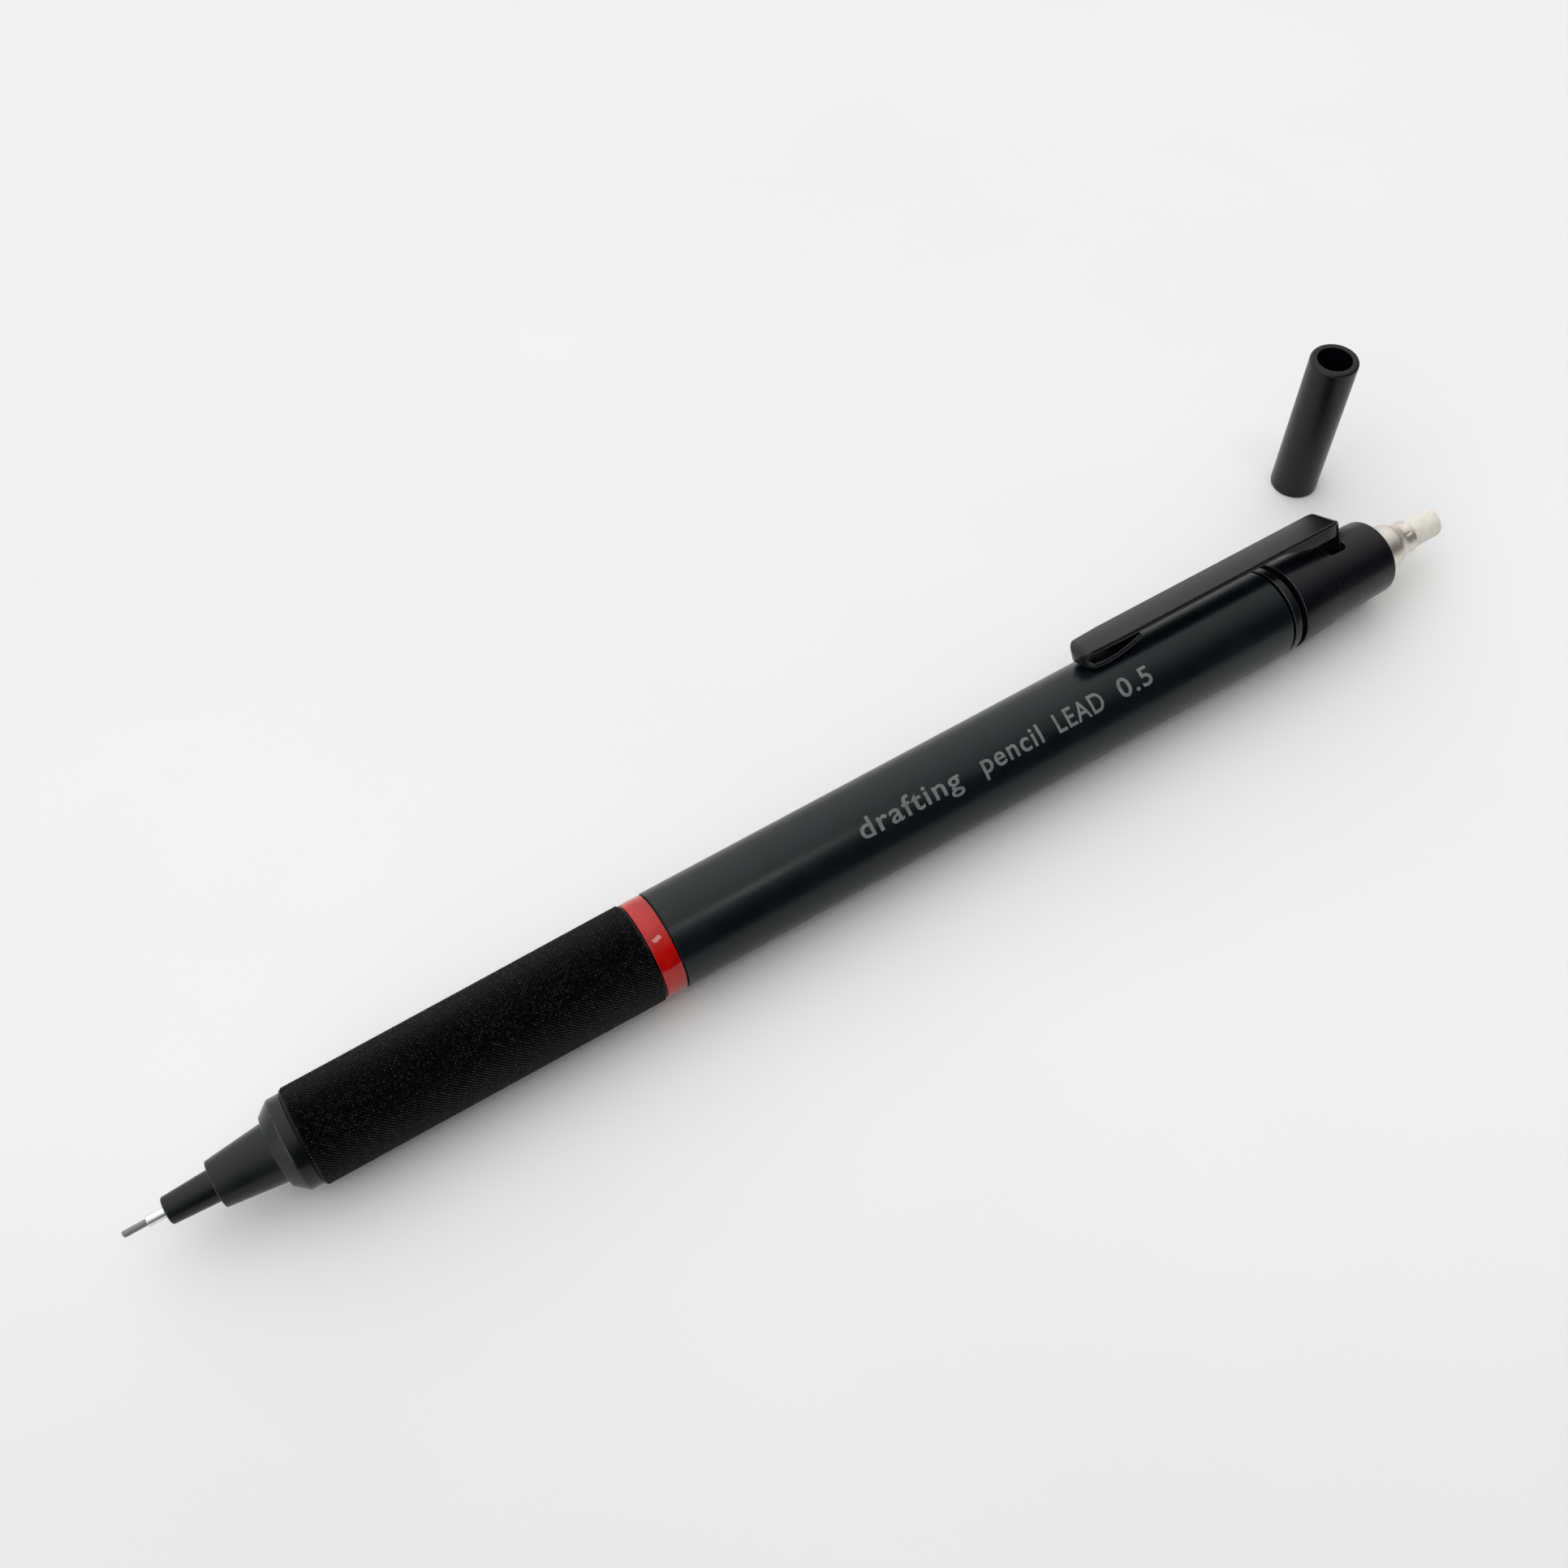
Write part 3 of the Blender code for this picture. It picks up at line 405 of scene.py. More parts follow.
# ------------------------------------------------------------------- finishes
class Nodes:
    """A small builder for one tree of nodes."""

    def __init__(self, tree: bpy.types.NodeTree) -> None:
        """Build in a tree."""
        self.tree = tree

    def node(self, kind: str, **settings: Any) -> bpy.types.Node:
        """Add a node.

        Args:
            kind: the node's type.
            settings: its own properties.

        Returns:
            The node.
        """
        made = self.tree.nodes.new(kind)
        for key, value in settings.items():
            setattr(made, key, value)
        return made

    def join(self, source: bpy.types.NodeSocket, target: bpy.types.NodeSocket) -> None:
        """Link two sockets."""
        self.tree.links.new(source, target)

    def feed(self, socket: bpy.types.NodeSocket, value: Any) -> None:
        """Give a socket its value.

        Args:
            socket: the socket to set.
            value: another socket to link to it, or a plain value.
        """
        if isinstance(value, bpy.types.NodeSocket):
            self.join(value, socket)
        else:
            socket.default_value = value

    def sum(self, operation: str, first: Any, second: Any, clamp: bool = False) -> bpy.types.NodeSocket:
        """One step of arithmetic.

        Args:
            operation: what is done.
            first: a socket or a number.
            second: a socket or a number.
            clamp: whether the result is held between 0 and 1.

        Returns:
            The result.
        """
        made = self.node("ShaderNodeMath", operation=operation, use_clamp=clamp)
        self.feed(made.inputs[0], first)
        self.feed(made.inputs[1], second)
        return made.outputs[0]

    def dot(self, vector: bpy.types.NodeSocket, direction: Sequence[float]) -> bpy.types.NodeSocket:
        """How far a vector goes in a direction.

        Args:
            vector: the vector.
            direction: a fixed direction.

        Returns:
            Their dot product.
        """
        made = self.node("ShaderNodeVectorMath", operation="DOT_PRODUCT")
        self.join(vector, made.inputs[0])
        made.inputs[1].default_value = direction
        return made.outputs["Value"]

    def mix(self, share: Any, first: Any, second: Any) -> bpy.types.NodeSocket:
        """Blend two colours.

        Args:
            share: share of the second one.
            first: a colour or a socket.
            second: a colour or a socket.

        Returns:
            The blend.
        """
        made = self.node("ShaderNodeMix", data_type="RGBA")
        self.feed(made.inputs[0], share)
        self.feed(made.inputs[6], first)
        self.feed(made.inputs[7], second)
        return made.outputs[2]


class Board(Nodes):
    """A builder for the nodes of one material."""

    def __init__(self, name: str) -> None:
        """Start a material with its output and shader.

        Args:
            name: the material's name.
        """
        self.material = bpy.data.materials.new(name)
        self.material.use_nodes = True
        super().__init__(self.material.node_tree)
        self.shader = self.tree.nodes["Principled BSDF"]

    def places(self, stretch: Triple = (1.0, 1.0, 1.0)) -> bpy.types.NodeSocket:
        """The piece's own coordinates.

        Args:
            stretch: what each axis is multiplied by.

        Returns:
            Places in millimetres.
        """
        source = self.node("ShaderNodeTexCoord")
        scaled = self.node("ShaderNodeVectorMath", operation="MULTIPLY")
        self.join(source.outputs["Object"], scaled.inputs[0])
        scaled.inputs[1].default_value = [s / MM for s in stretch]
        return scaled.outputs[0]

    def noise(self, scale: float, stretch: Triple = (1.0, 1.0, 1.0), detail: float = 3.0,
              rough: float = 0.55) -> bpy.types.NodeSocket:
        """Even noise over the piece.

        Args:
            scale: features to the millimetre.
            stretch: what each axis is multiplied by, so that a small number draws it out.
            detail: layers of finer noise.
            rough: how strong each finer layer is.

        Returns:
            A value about 0.5.
        """
        made = self.node("ShaderNodeTexNoise")
        self.join(self.places(stretch), made.inputs["Vector"])
        made.inputs["Scale"].default_value = scale
        made.inputs["Detail"].default_value = detail
        made.inputs["Roughness"].default_value = rough
        return made.outputs["Fac"]

    def spread(self, value: bpy.types.NodeSocket, low: float, high: float,
               to_low: float, to_high: float) -> bpy.types.NodeSocket:
        """Map a range of a value on to another range, held at both ends.

        Args:
            value: the value.
            low: where the range starts.
            high: where it ends.
            to_low: what its start becomes.
            to_high: what its end becomes.

        Returns:
            The new value.
        """
        made = self.node("ShaderNodeMapRange")
        self.feed(made.inputs["Value"], value)
        made.inputs["From Min"].default_value = low
        made.inputs["From Max"].default_value = high
        made.inputs["To Min"].default_value = to_low
        made.inputs["To Max"].default_value = to_high
        return made.outputs["Result"]

    def sway(self, noise: bpy.types.NodeSocket, low: float, high: float) -> bpy.types.NodeSocket:
        """Spread the usual swing of a noise over a range."""
        return self.spread(noise, *NOISE_SWING, low, high)

    def specks(self, per_mm: float, size: float, share: float) -> bpy.types.NodeSocket:
        """Small round spots scattered over the piece.

        Args:
            per_mm: cells to the millimetre that may hold one.
            size: radius of a spot, as a share of its cell.
            share: share of cells that hold one.

        Returns:
            A mask that is one on the spots.
        """
        cells = self.node("ShaderNodeTexVoronoi")
        self.join(self.places(), cells.inputs["Vector"])
        cells.inputs["Scale"].default_value = per_mm
        near = self.spread(cells.outputs["Distance"], size * 0.6, size, 1.0, 0.0)
        picked = self.sum("GREATER_THAN", cells.outputs["Color"], 1.0 - share)
        return self.sum("MULTIPLY", near, picked)

    def attribute(self, name: str) -> bpy.types.NodeSocket:
        """A number kept on the piece's vertices."""
        return self.node("ShaderNodeAttribute", attribute_name=name).outputs["Fac"]

    def bump(self, *layers: tuple[bpy.types.NodeSocket, float]) -> None:
        """Stack height layers on the shader's normal.

        Args:
            layers: pairs of a height socket and its depth in millimetres.
        """
        last = None
        for height, depth in layers:
            made = self.node("ShaderNodeBump")
            made.inputs["Strength"].default_value = 1.0
            made.inputs["Distance"].default_value = depth * MM
            self.join(height, made.inputs["Height"])
            if last is not None:
                self.join(last, made.inputs["Normal"])
            last = made.outputs["Normal"]
        self.join(last, self.shader.inputs["Normal"])

    def set(self, **values: Any) -> None:
        """Set sockets of the shader, each named with underscores for its spaces."""
        for key, value in values.items():
            self.feed(self.shader.inputs[key.replace("_", " ")], value)


def grey(value: float) -> FullColour:
    """A plain grey."""
    return (value, value, value, 1.0)


def solid(colour: Colour) -> FullColour:
    """A colour with full alpha."""
    return (*colour, 1.0)


class Grain(Enum):
    """Which way the fine tool lines run around a piece."""

    PENCIL = (1.0, 0.02, 0.02)
    CAP = (0.02, 0.02, 1.0)
    DRAWN = (0.03, 1.0, 1.0)
    NONE = (1.0, 1.0, 1.0)


class Finish:
    """A finish that makes its material once and hands it out again."""

    name: str
    made: dict[str, bpy.types.Material] = {}

    def build(self) -> bpy.types.Material:
        """Make the material."""
        raise NotImplementedError

    def material(self) -> bpy.types.Material:
        """Give out the finish's material, made on first use.

        Returns:
            The material.
        """
        if self.name not in Finish.made:
            Finish.made[self.name] = self.build()
        return Finish.made[self.name]


@dataclass(frozen=True)
class Coat(Finish):
    """A dark coat on metal: cloudy colour, fine grain, tool lines, rubbed edges lightened also by a painted
    edge sheen, and pale dusty specks that also stand for painted glints.

    Args:
        name: the material's name.
        colour: colour of the coat.
        rough: its roughness.
        spec: the shader's specular level.
        grain: height of the fine grain, in millimetres.
        per_mm: grains to the millimetre.
        lines: height of the tool lines under the coat, in millimetres.
        run: which way those lines run.
        bare_and_sheen_colour: colour of the lightened edges, for rubbed wear and a painted edge sheen.
        dust_and_glints: share of cells that hold a pale speck; the specks stand for dusty grains and painted
            glints.
    """

    name: str
    colour: Colour
    rough: float
    spec: float = 0.5
    grain: float = 0.0015
    per_mm: float = 16.0
    lines: float = 0.0006
    run: Grain = Grain.PENCIL
    bare_and_sheen_colour: Colour = (0.10, 0.10, 0.10)
    dust_and_glints: float = 0.010

    def build(self) -> bpy.types.Material:
        """Make the coat's material.

        Returns:
            The material.
        """
        board = Board(self.name)
        cloud = board.noise(0.35, detail=4.0)
        fine = board.noise(self.per_mm, detail=2.0, rough=0.6)
        rings = board.noise(9.0, self.run.value, detail=4.0, rough=0.7)
        darker, lighter, glint = (solid(tuple(share * c for c in self.colour)) for share in COAT_SHADES)
        base = board.mix(board.spread(cloud, 0.35, 0.65, 0.0, 1.0), darker, lighter)
        base = board.mix(board.spread(fine, 0.52, 0.72, 0.0, 0.5), base, glint)
        patchy = board.noise(5.0, detail=5.0, rough=0.7)
        # Edges lighten towards the rubbed-edge colour: rubbed wear and a painted edge sheen.
        rubbed_and_sheen = board.sum("MULTIPLY", board.attribute("rub_and_sheen"), board.spread(patchy, 0.42, 0.66, 0.0, 1.0))
        base = board.mix(rubbed_and_sheen, base, solid(self.bare_and_sheen_colour))
        # Pale specks: dusty grains, and painted glints.
        base = board.mix(board.specks(1.3, 0.075, self.dust_and_glints), base, grey(0.24))
        board.set(Base_Color=base, IOR=1.5, Specular_IOR_Level=self.spec, Metallic=0.0)
        smooth = board.sum("ADD", board.sway(cloud, -0.03, 0.03), board.sway(rings, -0.010, 0.010))
        board.set(Roughness=board.sum("ADD", smooth, self.rough, clamp=True))
        board.bump((rings, self.lines), (fine, self.grain))
        return board.material


@dataclass(frozen=True)
class Lacquer(Finish):
    """A deep glossy lacquer with a soft waviness.

    Args:
        name: the material's name.
        colour: body colour.
        deep: colour in its thicker places.
        rough: roughness of the top.
    """

    name: str
    colour: Colour
    deep: Colour
    rough: float = 0.10

    def build(self) -> bpy.types.Material:
        """Make the lacquer's material.

        Returns:
            The material.
        """
        board = Board(self.name)
        cloud = board.noise(0.6, detail=3.0)
        wave = board.noise(0.75, detail=1.0, rough=0.4)
        peel = board.noise(3.0, detail=2.0)
        base = board.mix(board.spread(cloud, 0.35, 0.65, 0.0, 1.0), solid(self.colour), solid(self.deep))
        # Pale pink specks on the red: dusty grains, and painted glints.
        base = board.mix(board.specks(1.1, 0.07, 0.02), base, solid((0.75, 0.45, 0.40)))
        board.set(Base_Color=base, IOR=1.5, Specular_IOR_Level=0.42, Coat_Weight=0.12, Coat_Roughness=0.03)
        board.set(Roughness=board.sway(peel, self.rough - 0.02, self.rough + 0.04))
        board.bump((wave, 0.038), (peel, 0.0008))
        return board.material


@dataclass(frozen=True)
class Metal(Finish):
    """Bare metal with tool lines, soft stains and uneven polish.

    Args:
        name: the material's name.
        colour: colour of the clean metal.
        stain: colour of its darker places.
        rough: mean roughness.
        lines: height of the tool lines in millimetres.
        run: which way the lines run.
        stained: how far the stains go, from 0 to 1.
    """

    name: str
    colour: Colour
    stain: Colour
    rough: float
    lines: float = 0.0012
    run: Grain = Grain.PENCIL
    stained: float = 0.5

    def build(self) -> bpy.types.Material:
        """Make the metal's material.

        Returns:
            The material.
        """
        board = Board(self.name)
        rings = board.noise(14.0, self.run.value, detail=4.0, rough=0.75)
        cloud = board.noise(0.8, detail=4.0)
        fine = board.noise(7.0, detail=3.0)
        share = board.spread(cloud, 0.42, 0.70, 0.0, self.stained)
        base = board.mix(share, solid(self.colour), solid(self.stain))
        base = board.mix(board.spread(rings, 0.45, 0.75, 0.0, 0.25), base, solid(self.stain))
        board.set(Base_Color=base, Metallic=1.0)
        uneven = board.sum("ADD", board.sway(rings, -0.05, 0.06), board.sway(fine, -0.03, 0.03))
        board.set(Roughness=board.sum("ADD", uneven, self.rough, clamp=True))
        board.bump((rings, self.lines), (fine, 0.0008))
        return board.material


@dataclass(frozen=True)
class Soft(Finish):
    """A soft or moulded solid: eraser vinyl, rubber or plastic.

    Args:
        name: the material's name.
        colour: main colour.
        other: colour of its mottling.
        rough: mean roughness.
        depth: height of its surface grain in millimetres.
        per_mm: mottles to the millimetre.
        glow: weight of the light that passes under its skin.
        marks: share of cells with a dark crumb.
    """

    name: str
    colour: Colour
    other: Colour
    rough: float
    depth: float = 0.010
    per_mm: float = 1.6
    glow: float = 0.0
    marks: float = 0.0

    def build(self) -> bpy.types.Material:
        """Make the soft solid's material.

        Returns:
            The material.
        """
        board = Board(self.name)
        mottle = board.noise(self.per_mm, detail=4.0, rough=0.6)
        skin = board.noise(7.0, detail=4.0, rough=0.65)
        base = board.mix(board.spread(mottle, 0.36, 0.68, 0.0, 1.0), solid(self.colour), solid(self.other))
        if self.marks > 0.0:
            crumbs = board.specks(1.7, 0.10, self.marks)
            base = board.mix(board.sum("MULTIPLY", crumbs, 0.5), base, grey(0.30))
        board.set(Base_Color=base, Subsurface_Weight=self.glow, Subsurface_Scale=0.6 * MM)
        board.set(Roughness=board.sway(skin, self.rough - 0.06, self.rough + 0.06))
        board.bump((mottle, self.depth), (skin, 0.3 * self.depth))
        return board.material


@dataclass(frozen=True)
class Graphite(Finish):
    """Polymer-bonded lead: dull grey body, a metallic bloom and fine drawing lines.

    Args:
        name: the material's name.
        colour: body colour.
        bloom: colour of the shinier streaks.
    """

    name: str
    colour: Colour
    bloom: Colour

    def build(self) -> bpy.types.Material:
        """Make the lead's material.

        Returns:
            The material.
        """
        board = Board(self.name)
        streaks = board.noise(22.0, Grain.DRAWN.value, detail=4.0, rough=0.7)
        specks = board.noise(18.0, detail=3.0)
        base = board.mix(board.spread(streaks, 0.4, 0.7, 0.0, 1.0), solid(self.colour), solid(self.bloom))
        board.set(Base_Color=base, Metallic=0.35)
        board.set(Roughness=board.sway(specks, 0.30, 0.48))
        board.bump((streaks, 0.004), (specks, 0.003))
        return board.material


@dataclass(frozen=True)
class Ink(Finish):
    """Printed ink with a thin, slightly broken film.

    Args:
        name: the material's name.
        colour: the ink.
        ground: the coat that shows through its pinholes.
    """

    name: str
    colour: Colour
    ground: Colour

    def build(self) -> bpy.types.Material:
        """Make the ink's material.

        Returns:
            The material.
        """
        board = Board(self.name)
        film = board.noise(9.0, detail=4.0, rough=0.7)
        body = board.noise(1.2, detail=2.0)
        base = board.mix(board.sway(body, 0.0, 0.35), solid(self.colour), solid(self.ground))
        base = board.mix(board.spread(film, 0.60, 0.70, 0.0, 0.7), base, solid(self.ground))
        board.set(Base_Color=base, Specular_IOR_Level=0.35)
        board.set(Roughness=board.sway(film, 0.46, 0.60))
        board.bump((film, 0.0015), (body, 0.0010))
        return board.material


# Each coat's rubbed-edge colour also paints a lighter edge sheen, and its pale specks stand for dusty grains
# and painted glints.
BLACK_SATIN = Coat("black_satin_coat", (0.0012, 0.0022, 0.0026), 0.26, 0.30, 0.0012, 12.0, 0.0003,
                   bare_and_sheen_colour=(0.16, 0.14, 0.11), dust_and_glints=0.05)
BLACK_KNURL = Coat("black_knurl_coat", (0.0007, 0.0011, 0.0013), 0.28, 0.15, 0.0016, 18.0, 0.0002,
                   bare_and_sheen_colour=(0.075, 0.076, 0.080), dust_and_glints=0.08)
CHARCOAL = Coat("charcoal_lacquer", (0.0018, 0.0040, 0.0052), 0.29, 0.30, 0.0022, 9.0, 0.0002,
                bare_and_sheen_colour=(0.05, 0.05, 0.05), dust_and_glints=0.018)
BLACK_MATT = Coat("black_matt_coat", (0.0026, 0.0031, 0.0045), 0.29, 0.30, 0.0016, 12.0, 0.0002,
                  bare_and_sheen_colour=(0.14, 0.14, 0.145), dust_and_glints=0.012)
CAP_MATT = Coat("black_cap_coat", (0.0018, 0.0023, 0.0034), 0.30, 0.28, 0.0014, 14.0, 0.0003, Grain.CAP,
                bare_and_sheen_colour=(0.05, 0.05, 0.055), dust_and_glints=0.010)
CLIP_COAT = Coat("clip_lacquer", (0.0024, 0.0032, 0.0034), 0.24, 0.34, 0.0012, 12.0, 0.0001, Grain.DRAWN,
                 bare_and_sheen_colour=(0.03, 0.03, 0.03), dust_and_glints=0.020)
RED_GLOSS = Lacquer("red_gloss_lacquer", (0.47, 0.003, 0.002), (0.38, 0.0015, 0.001), 0.04)
STEEL = Metal("polished_steel", (0.80, 0.80, 0.81), (0.55, 0.55, 0.56), 0.20, 0.0008, stained=0.3)
SPRING = Metal("drawn_spring_wire", (0.60, 0.60, 0.62), (0.34, 0.34, 0.35), 0.28, run=Grain.NONE)
BRASS = Metal("turned_brass", (0.78, 0.58, 0.27), (0.50, 0.34, 0.15), 0.26)
NICKEL = Metal("nickel_plate", (0.82, 0.77, 0.70), (0.64, 0.59, 0.52), 0.44, 0.0006, stained=0.5)
ACETAL = Soft("moulded_acetal", (0.80, 0.80, 0.78), (0.74, 0.74, 0.71), 0.38, 0.004, 0.8, 0.1)
RUBBER = Soft("brown_rubber", (0.085, 0.048, 0.030), (0.060, 0.034, 0.022), 0.72, 0.010, 2.0)
VINYL = Soft("white_vinyl", (0.82, 0.80, 0.72), (0.74, 0.71, 0.62), 0.62, 0.022, 1.5, 0.15, 0.05)
LEAD_GREY = Graphite("graphite", (0.155, 0.150, 0.162), (0.26, 0.26, 0.275))
GREY_INK = Ink("grey_print", (0.175, 0.185, 0.185), (0.020, 0.021, 0.022))


def wear(obj: bpy.types.Object, finish: Finish) -> None:
    """Put one finish on a whole piece."""
    obj.data.materials.clear()
    obj.data.materials.append(finish.material())


def seat(obj: bpy.types.Object, finish: Finish, body: Body, slot: str | None, *nodes: str) -> None:
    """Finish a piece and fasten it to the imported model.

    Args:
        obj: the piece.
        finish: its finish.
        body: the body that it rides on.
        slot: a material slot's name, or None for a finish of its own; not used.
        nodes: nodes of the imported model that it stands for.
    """
    wear(obj, finish)
    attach(obj, body.value)
    if nodes:
        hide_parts(*nodes)
    LOG.info("%s rides on %s, %d faces", obj.name, body.value, len(obj.data.polygons))


def waver(angle: np.ndarray, seed: int, waves: int = 9) -> np.ndarray:
    """An uneven line around a turned piece.

    Args:
        angle: angles about the piece, in radians.
        seed: picks the line.
        waves: number of waves that it is summed from.

    Returns:
        A height between about -1 and 1 at each angle.
    """
    random = np.random.default_rng(seed)
    total = np.zeros_like(angle)
    for k in range(2, 2 + waves):
        total += random.normal() * np.cos(k * (k + 1) // 2 * angle + random.uniform(0, math.tau))
    return total / (0.75 * waves)


# ---------------------------------------------------------------------- point
@dataclass
class Point:
    """The lead, its guide, the sprung point and the cone with its shoulder."""

    axle: Axle
    lead_round: float = 0.27
    lead_worn: float = 0.5
    lead_slant: float = 0.11
    lead_worn_side: float = 2.4
    guide_wall: float = 0.16
    tip_front: float = 1.17
    tip_rear: float = 1.40
    tip_shown: float = 4.0
    tip_stem: float = 2.45
    guide_seat: float = 0.50
    guide_seat_depth: float = 3.05
    lead_hole: float = 0.34
    inner_bore: float = 0.97
    spigot: float = 1.85
    spigot_bore: float = 1.50
    spigot_length: float = 2.05
    cone_front: float = 2.03
    cone_root: float = 2.62
    cone_length: float = 5.05
    cone_bend: float = 2.2
    cone_swell: float = 0.26
    foot: float = 3.10
    rise: float = 1.10
    band: float = 4.02
    band_gap: float = 0.05
    mouth: float = 1.47
    mouth_depth: float = 2.45
    flange_bore: float = 1.97
    flange_room: float = 0.50
    body_bore: float = 2.60
    burr: float = 0.035
    burr_length: float = 0.22

    def lead(self) -> None:
        """The lead, rubbed down to a soft round point with a small writing flat."""
        span = span_of("lead")
        r = span.radius
        corners = [Corner(span.rear, 0.0), Corner(span.rear, r, 0.02),
                   Corner(span.front, r, self.lead_round), Corner(span.front, 0.0)]
        profile = soften(corners, closed=False, steps=8)

        def rub_down(d: np.ndarray, rad: np.ndarray, a: np.ndarray) -> tuple[np.ndarray, np.ndarray]:
            """Slant the very point, as drawing does.

            Args:
                d: distances along the axle.
                rad: distances from it.
                a: angles about it, in radians.

            Returns:
                The new distances along and from the axle.
            """
            near = np.clip((span.front + self.lead_worn - d) / self.lead_worn, 0.0, 1.0)
            return d + self.lead_slant * near * rad * (1.0 + np.cos(a - self.lead_worn_side)), rad

        piece = turn("lead_stick", self.axle, profile, False, 48, rub_down)
        seat(piece, LEAD_GREY, Body.LEAD, "graphite", "lead")

    def guide(self) -> None:
        """The steel tube that the lead comes out of."""
        span = span_of("lead_sleeve")
        bore = span.radius - self.guide_wall
        corners = [Corner(span.rear, span.radius), Corner(span.front, span.radius, 0.05),
                   Corner(span.front, bore, 0.03), Corner(span.rear, bore)]
        piece = turn("lead_guide_tube", self.axle, soften(corners), sides=64)
        seat(piece, STEEL, Body.CARRIAGE, "polished_steel", "lead_sleeve")

    def tip(self) -> None:
        """The sprung point that holds the guide tube."""
        span = span_of("tip_nose")
        shown_end = span.front + self.tip_shown
        stem_end = shown_end + self.tip_stem + 0.05
        flange = span.radius
        spigot_x = span.rear - self.spigot_length
        seat_end = span.front + self.guide_seat_depth
        hole_end = stem_end + 0.45
        corners = [
            Corner(span.rear, self.spigot),
            Corner(spigot_x, self.spigot),
            Corner(spigot_x, flange, 0.05),
            Corner(stem_end, flange, 0.05),
            Corner(stem_end, self.tip_rear),
            Corner(shown_end, self.tip_rear),
            Corner(span.front + 0.10, self.tip_front + 0.02, 0.06),
            Corner(span.front, self.tip_front - 0.08, 0.05, 0.6),
            Corner(span.front, self.guide_seat, 0.05, 0.5),
            Corner(seat_end, self.guide_seat),
            Corner(seat_end, self.lead_hole),
            Corner(hole_end, self.lead_hole),
            Corner(hole_end, self.inner_bore),
            Corner(spigot_x, self.inner_bore),
            Corner(spigot_x, self.spigot_bore),
            Corner(span.rear, self.spigot_bore),
        ]
        piece = turn("sprung_point", self.axle, soften(corners), sides=112)
        seat(piece, BLACK_SATIN, Body.CARRIAGE, "black_satin", "tip_nose")

    def cone(self) -> None:
        """The cone with its stepped mouth, chamfered shoulder and smooth band."""
        span = span_of("nose_cone")
        front = span.front
        root = front + self.cone_length
        shoulder = span_of("grip_sleeve").front - self.band_gap
        spigot = span_of("grip_core").radius
        corners = [
            Corner(span.rear, spigot, 0.05),
            Corner(shoulder, spigot),
            Corner(shoulder, self.band, 0.06, 0.4),
            Corner(root + self.rise, self.band, 0.35, 0.35),
            Corner(root + 0.02, self.foot, 0.12, 0.5),
            Corner(root, self.cone_root, 0.16),
            Corner(front + self.cone_bend, self.cone_front + self.cone_swell),
            Corner(front, self.cone_front, 0.11, 0.8),
            Corner(front, self.mouth + 0.13, 0.05, 0.8),
            Corner(front + 0.20, self.mouth, 0.04),
            Corner(front + self.mouth_depth, self.mouth),
            Corner(front + self.mouth_depth, self.flange_bore),
            Corner(root + self.flange_room, self.flange_bore),
            Corner(root + self.flange_room, self.body_bore),
            Corner(span.rear, self.body_bore),
        ]

        def chip(d: np.ndarray, r: np.ndarray, a: np.ndarray) -> tuple[np.ndarray, np.ndarray]:
            """Leave the mouth's edge a little uneven.

            Args:
                d: distances along the axle.
                r: distances from it.
                a: angles about it, in radians.

            Returns:
                The new distances along and from the axle.
            """
            near = np.clip((front + self.burr_length - d) / self.burr_length, 0.0, 1.0)
            return d + self.burr * near * (1.0 + waver(a, 5)), r

        piece = turn("stepped_cone", self.axle, soften(corners), sides=160, reshape=chip)
        seat(piece, BLACK_SATIN, Body.CASING, "black_satin", "nose_cone")

    def build(self) -> None:
        """Make the point's pieces from front to back."""
        self.lead()
        self.guide()
        self.tip()
        self.cone()


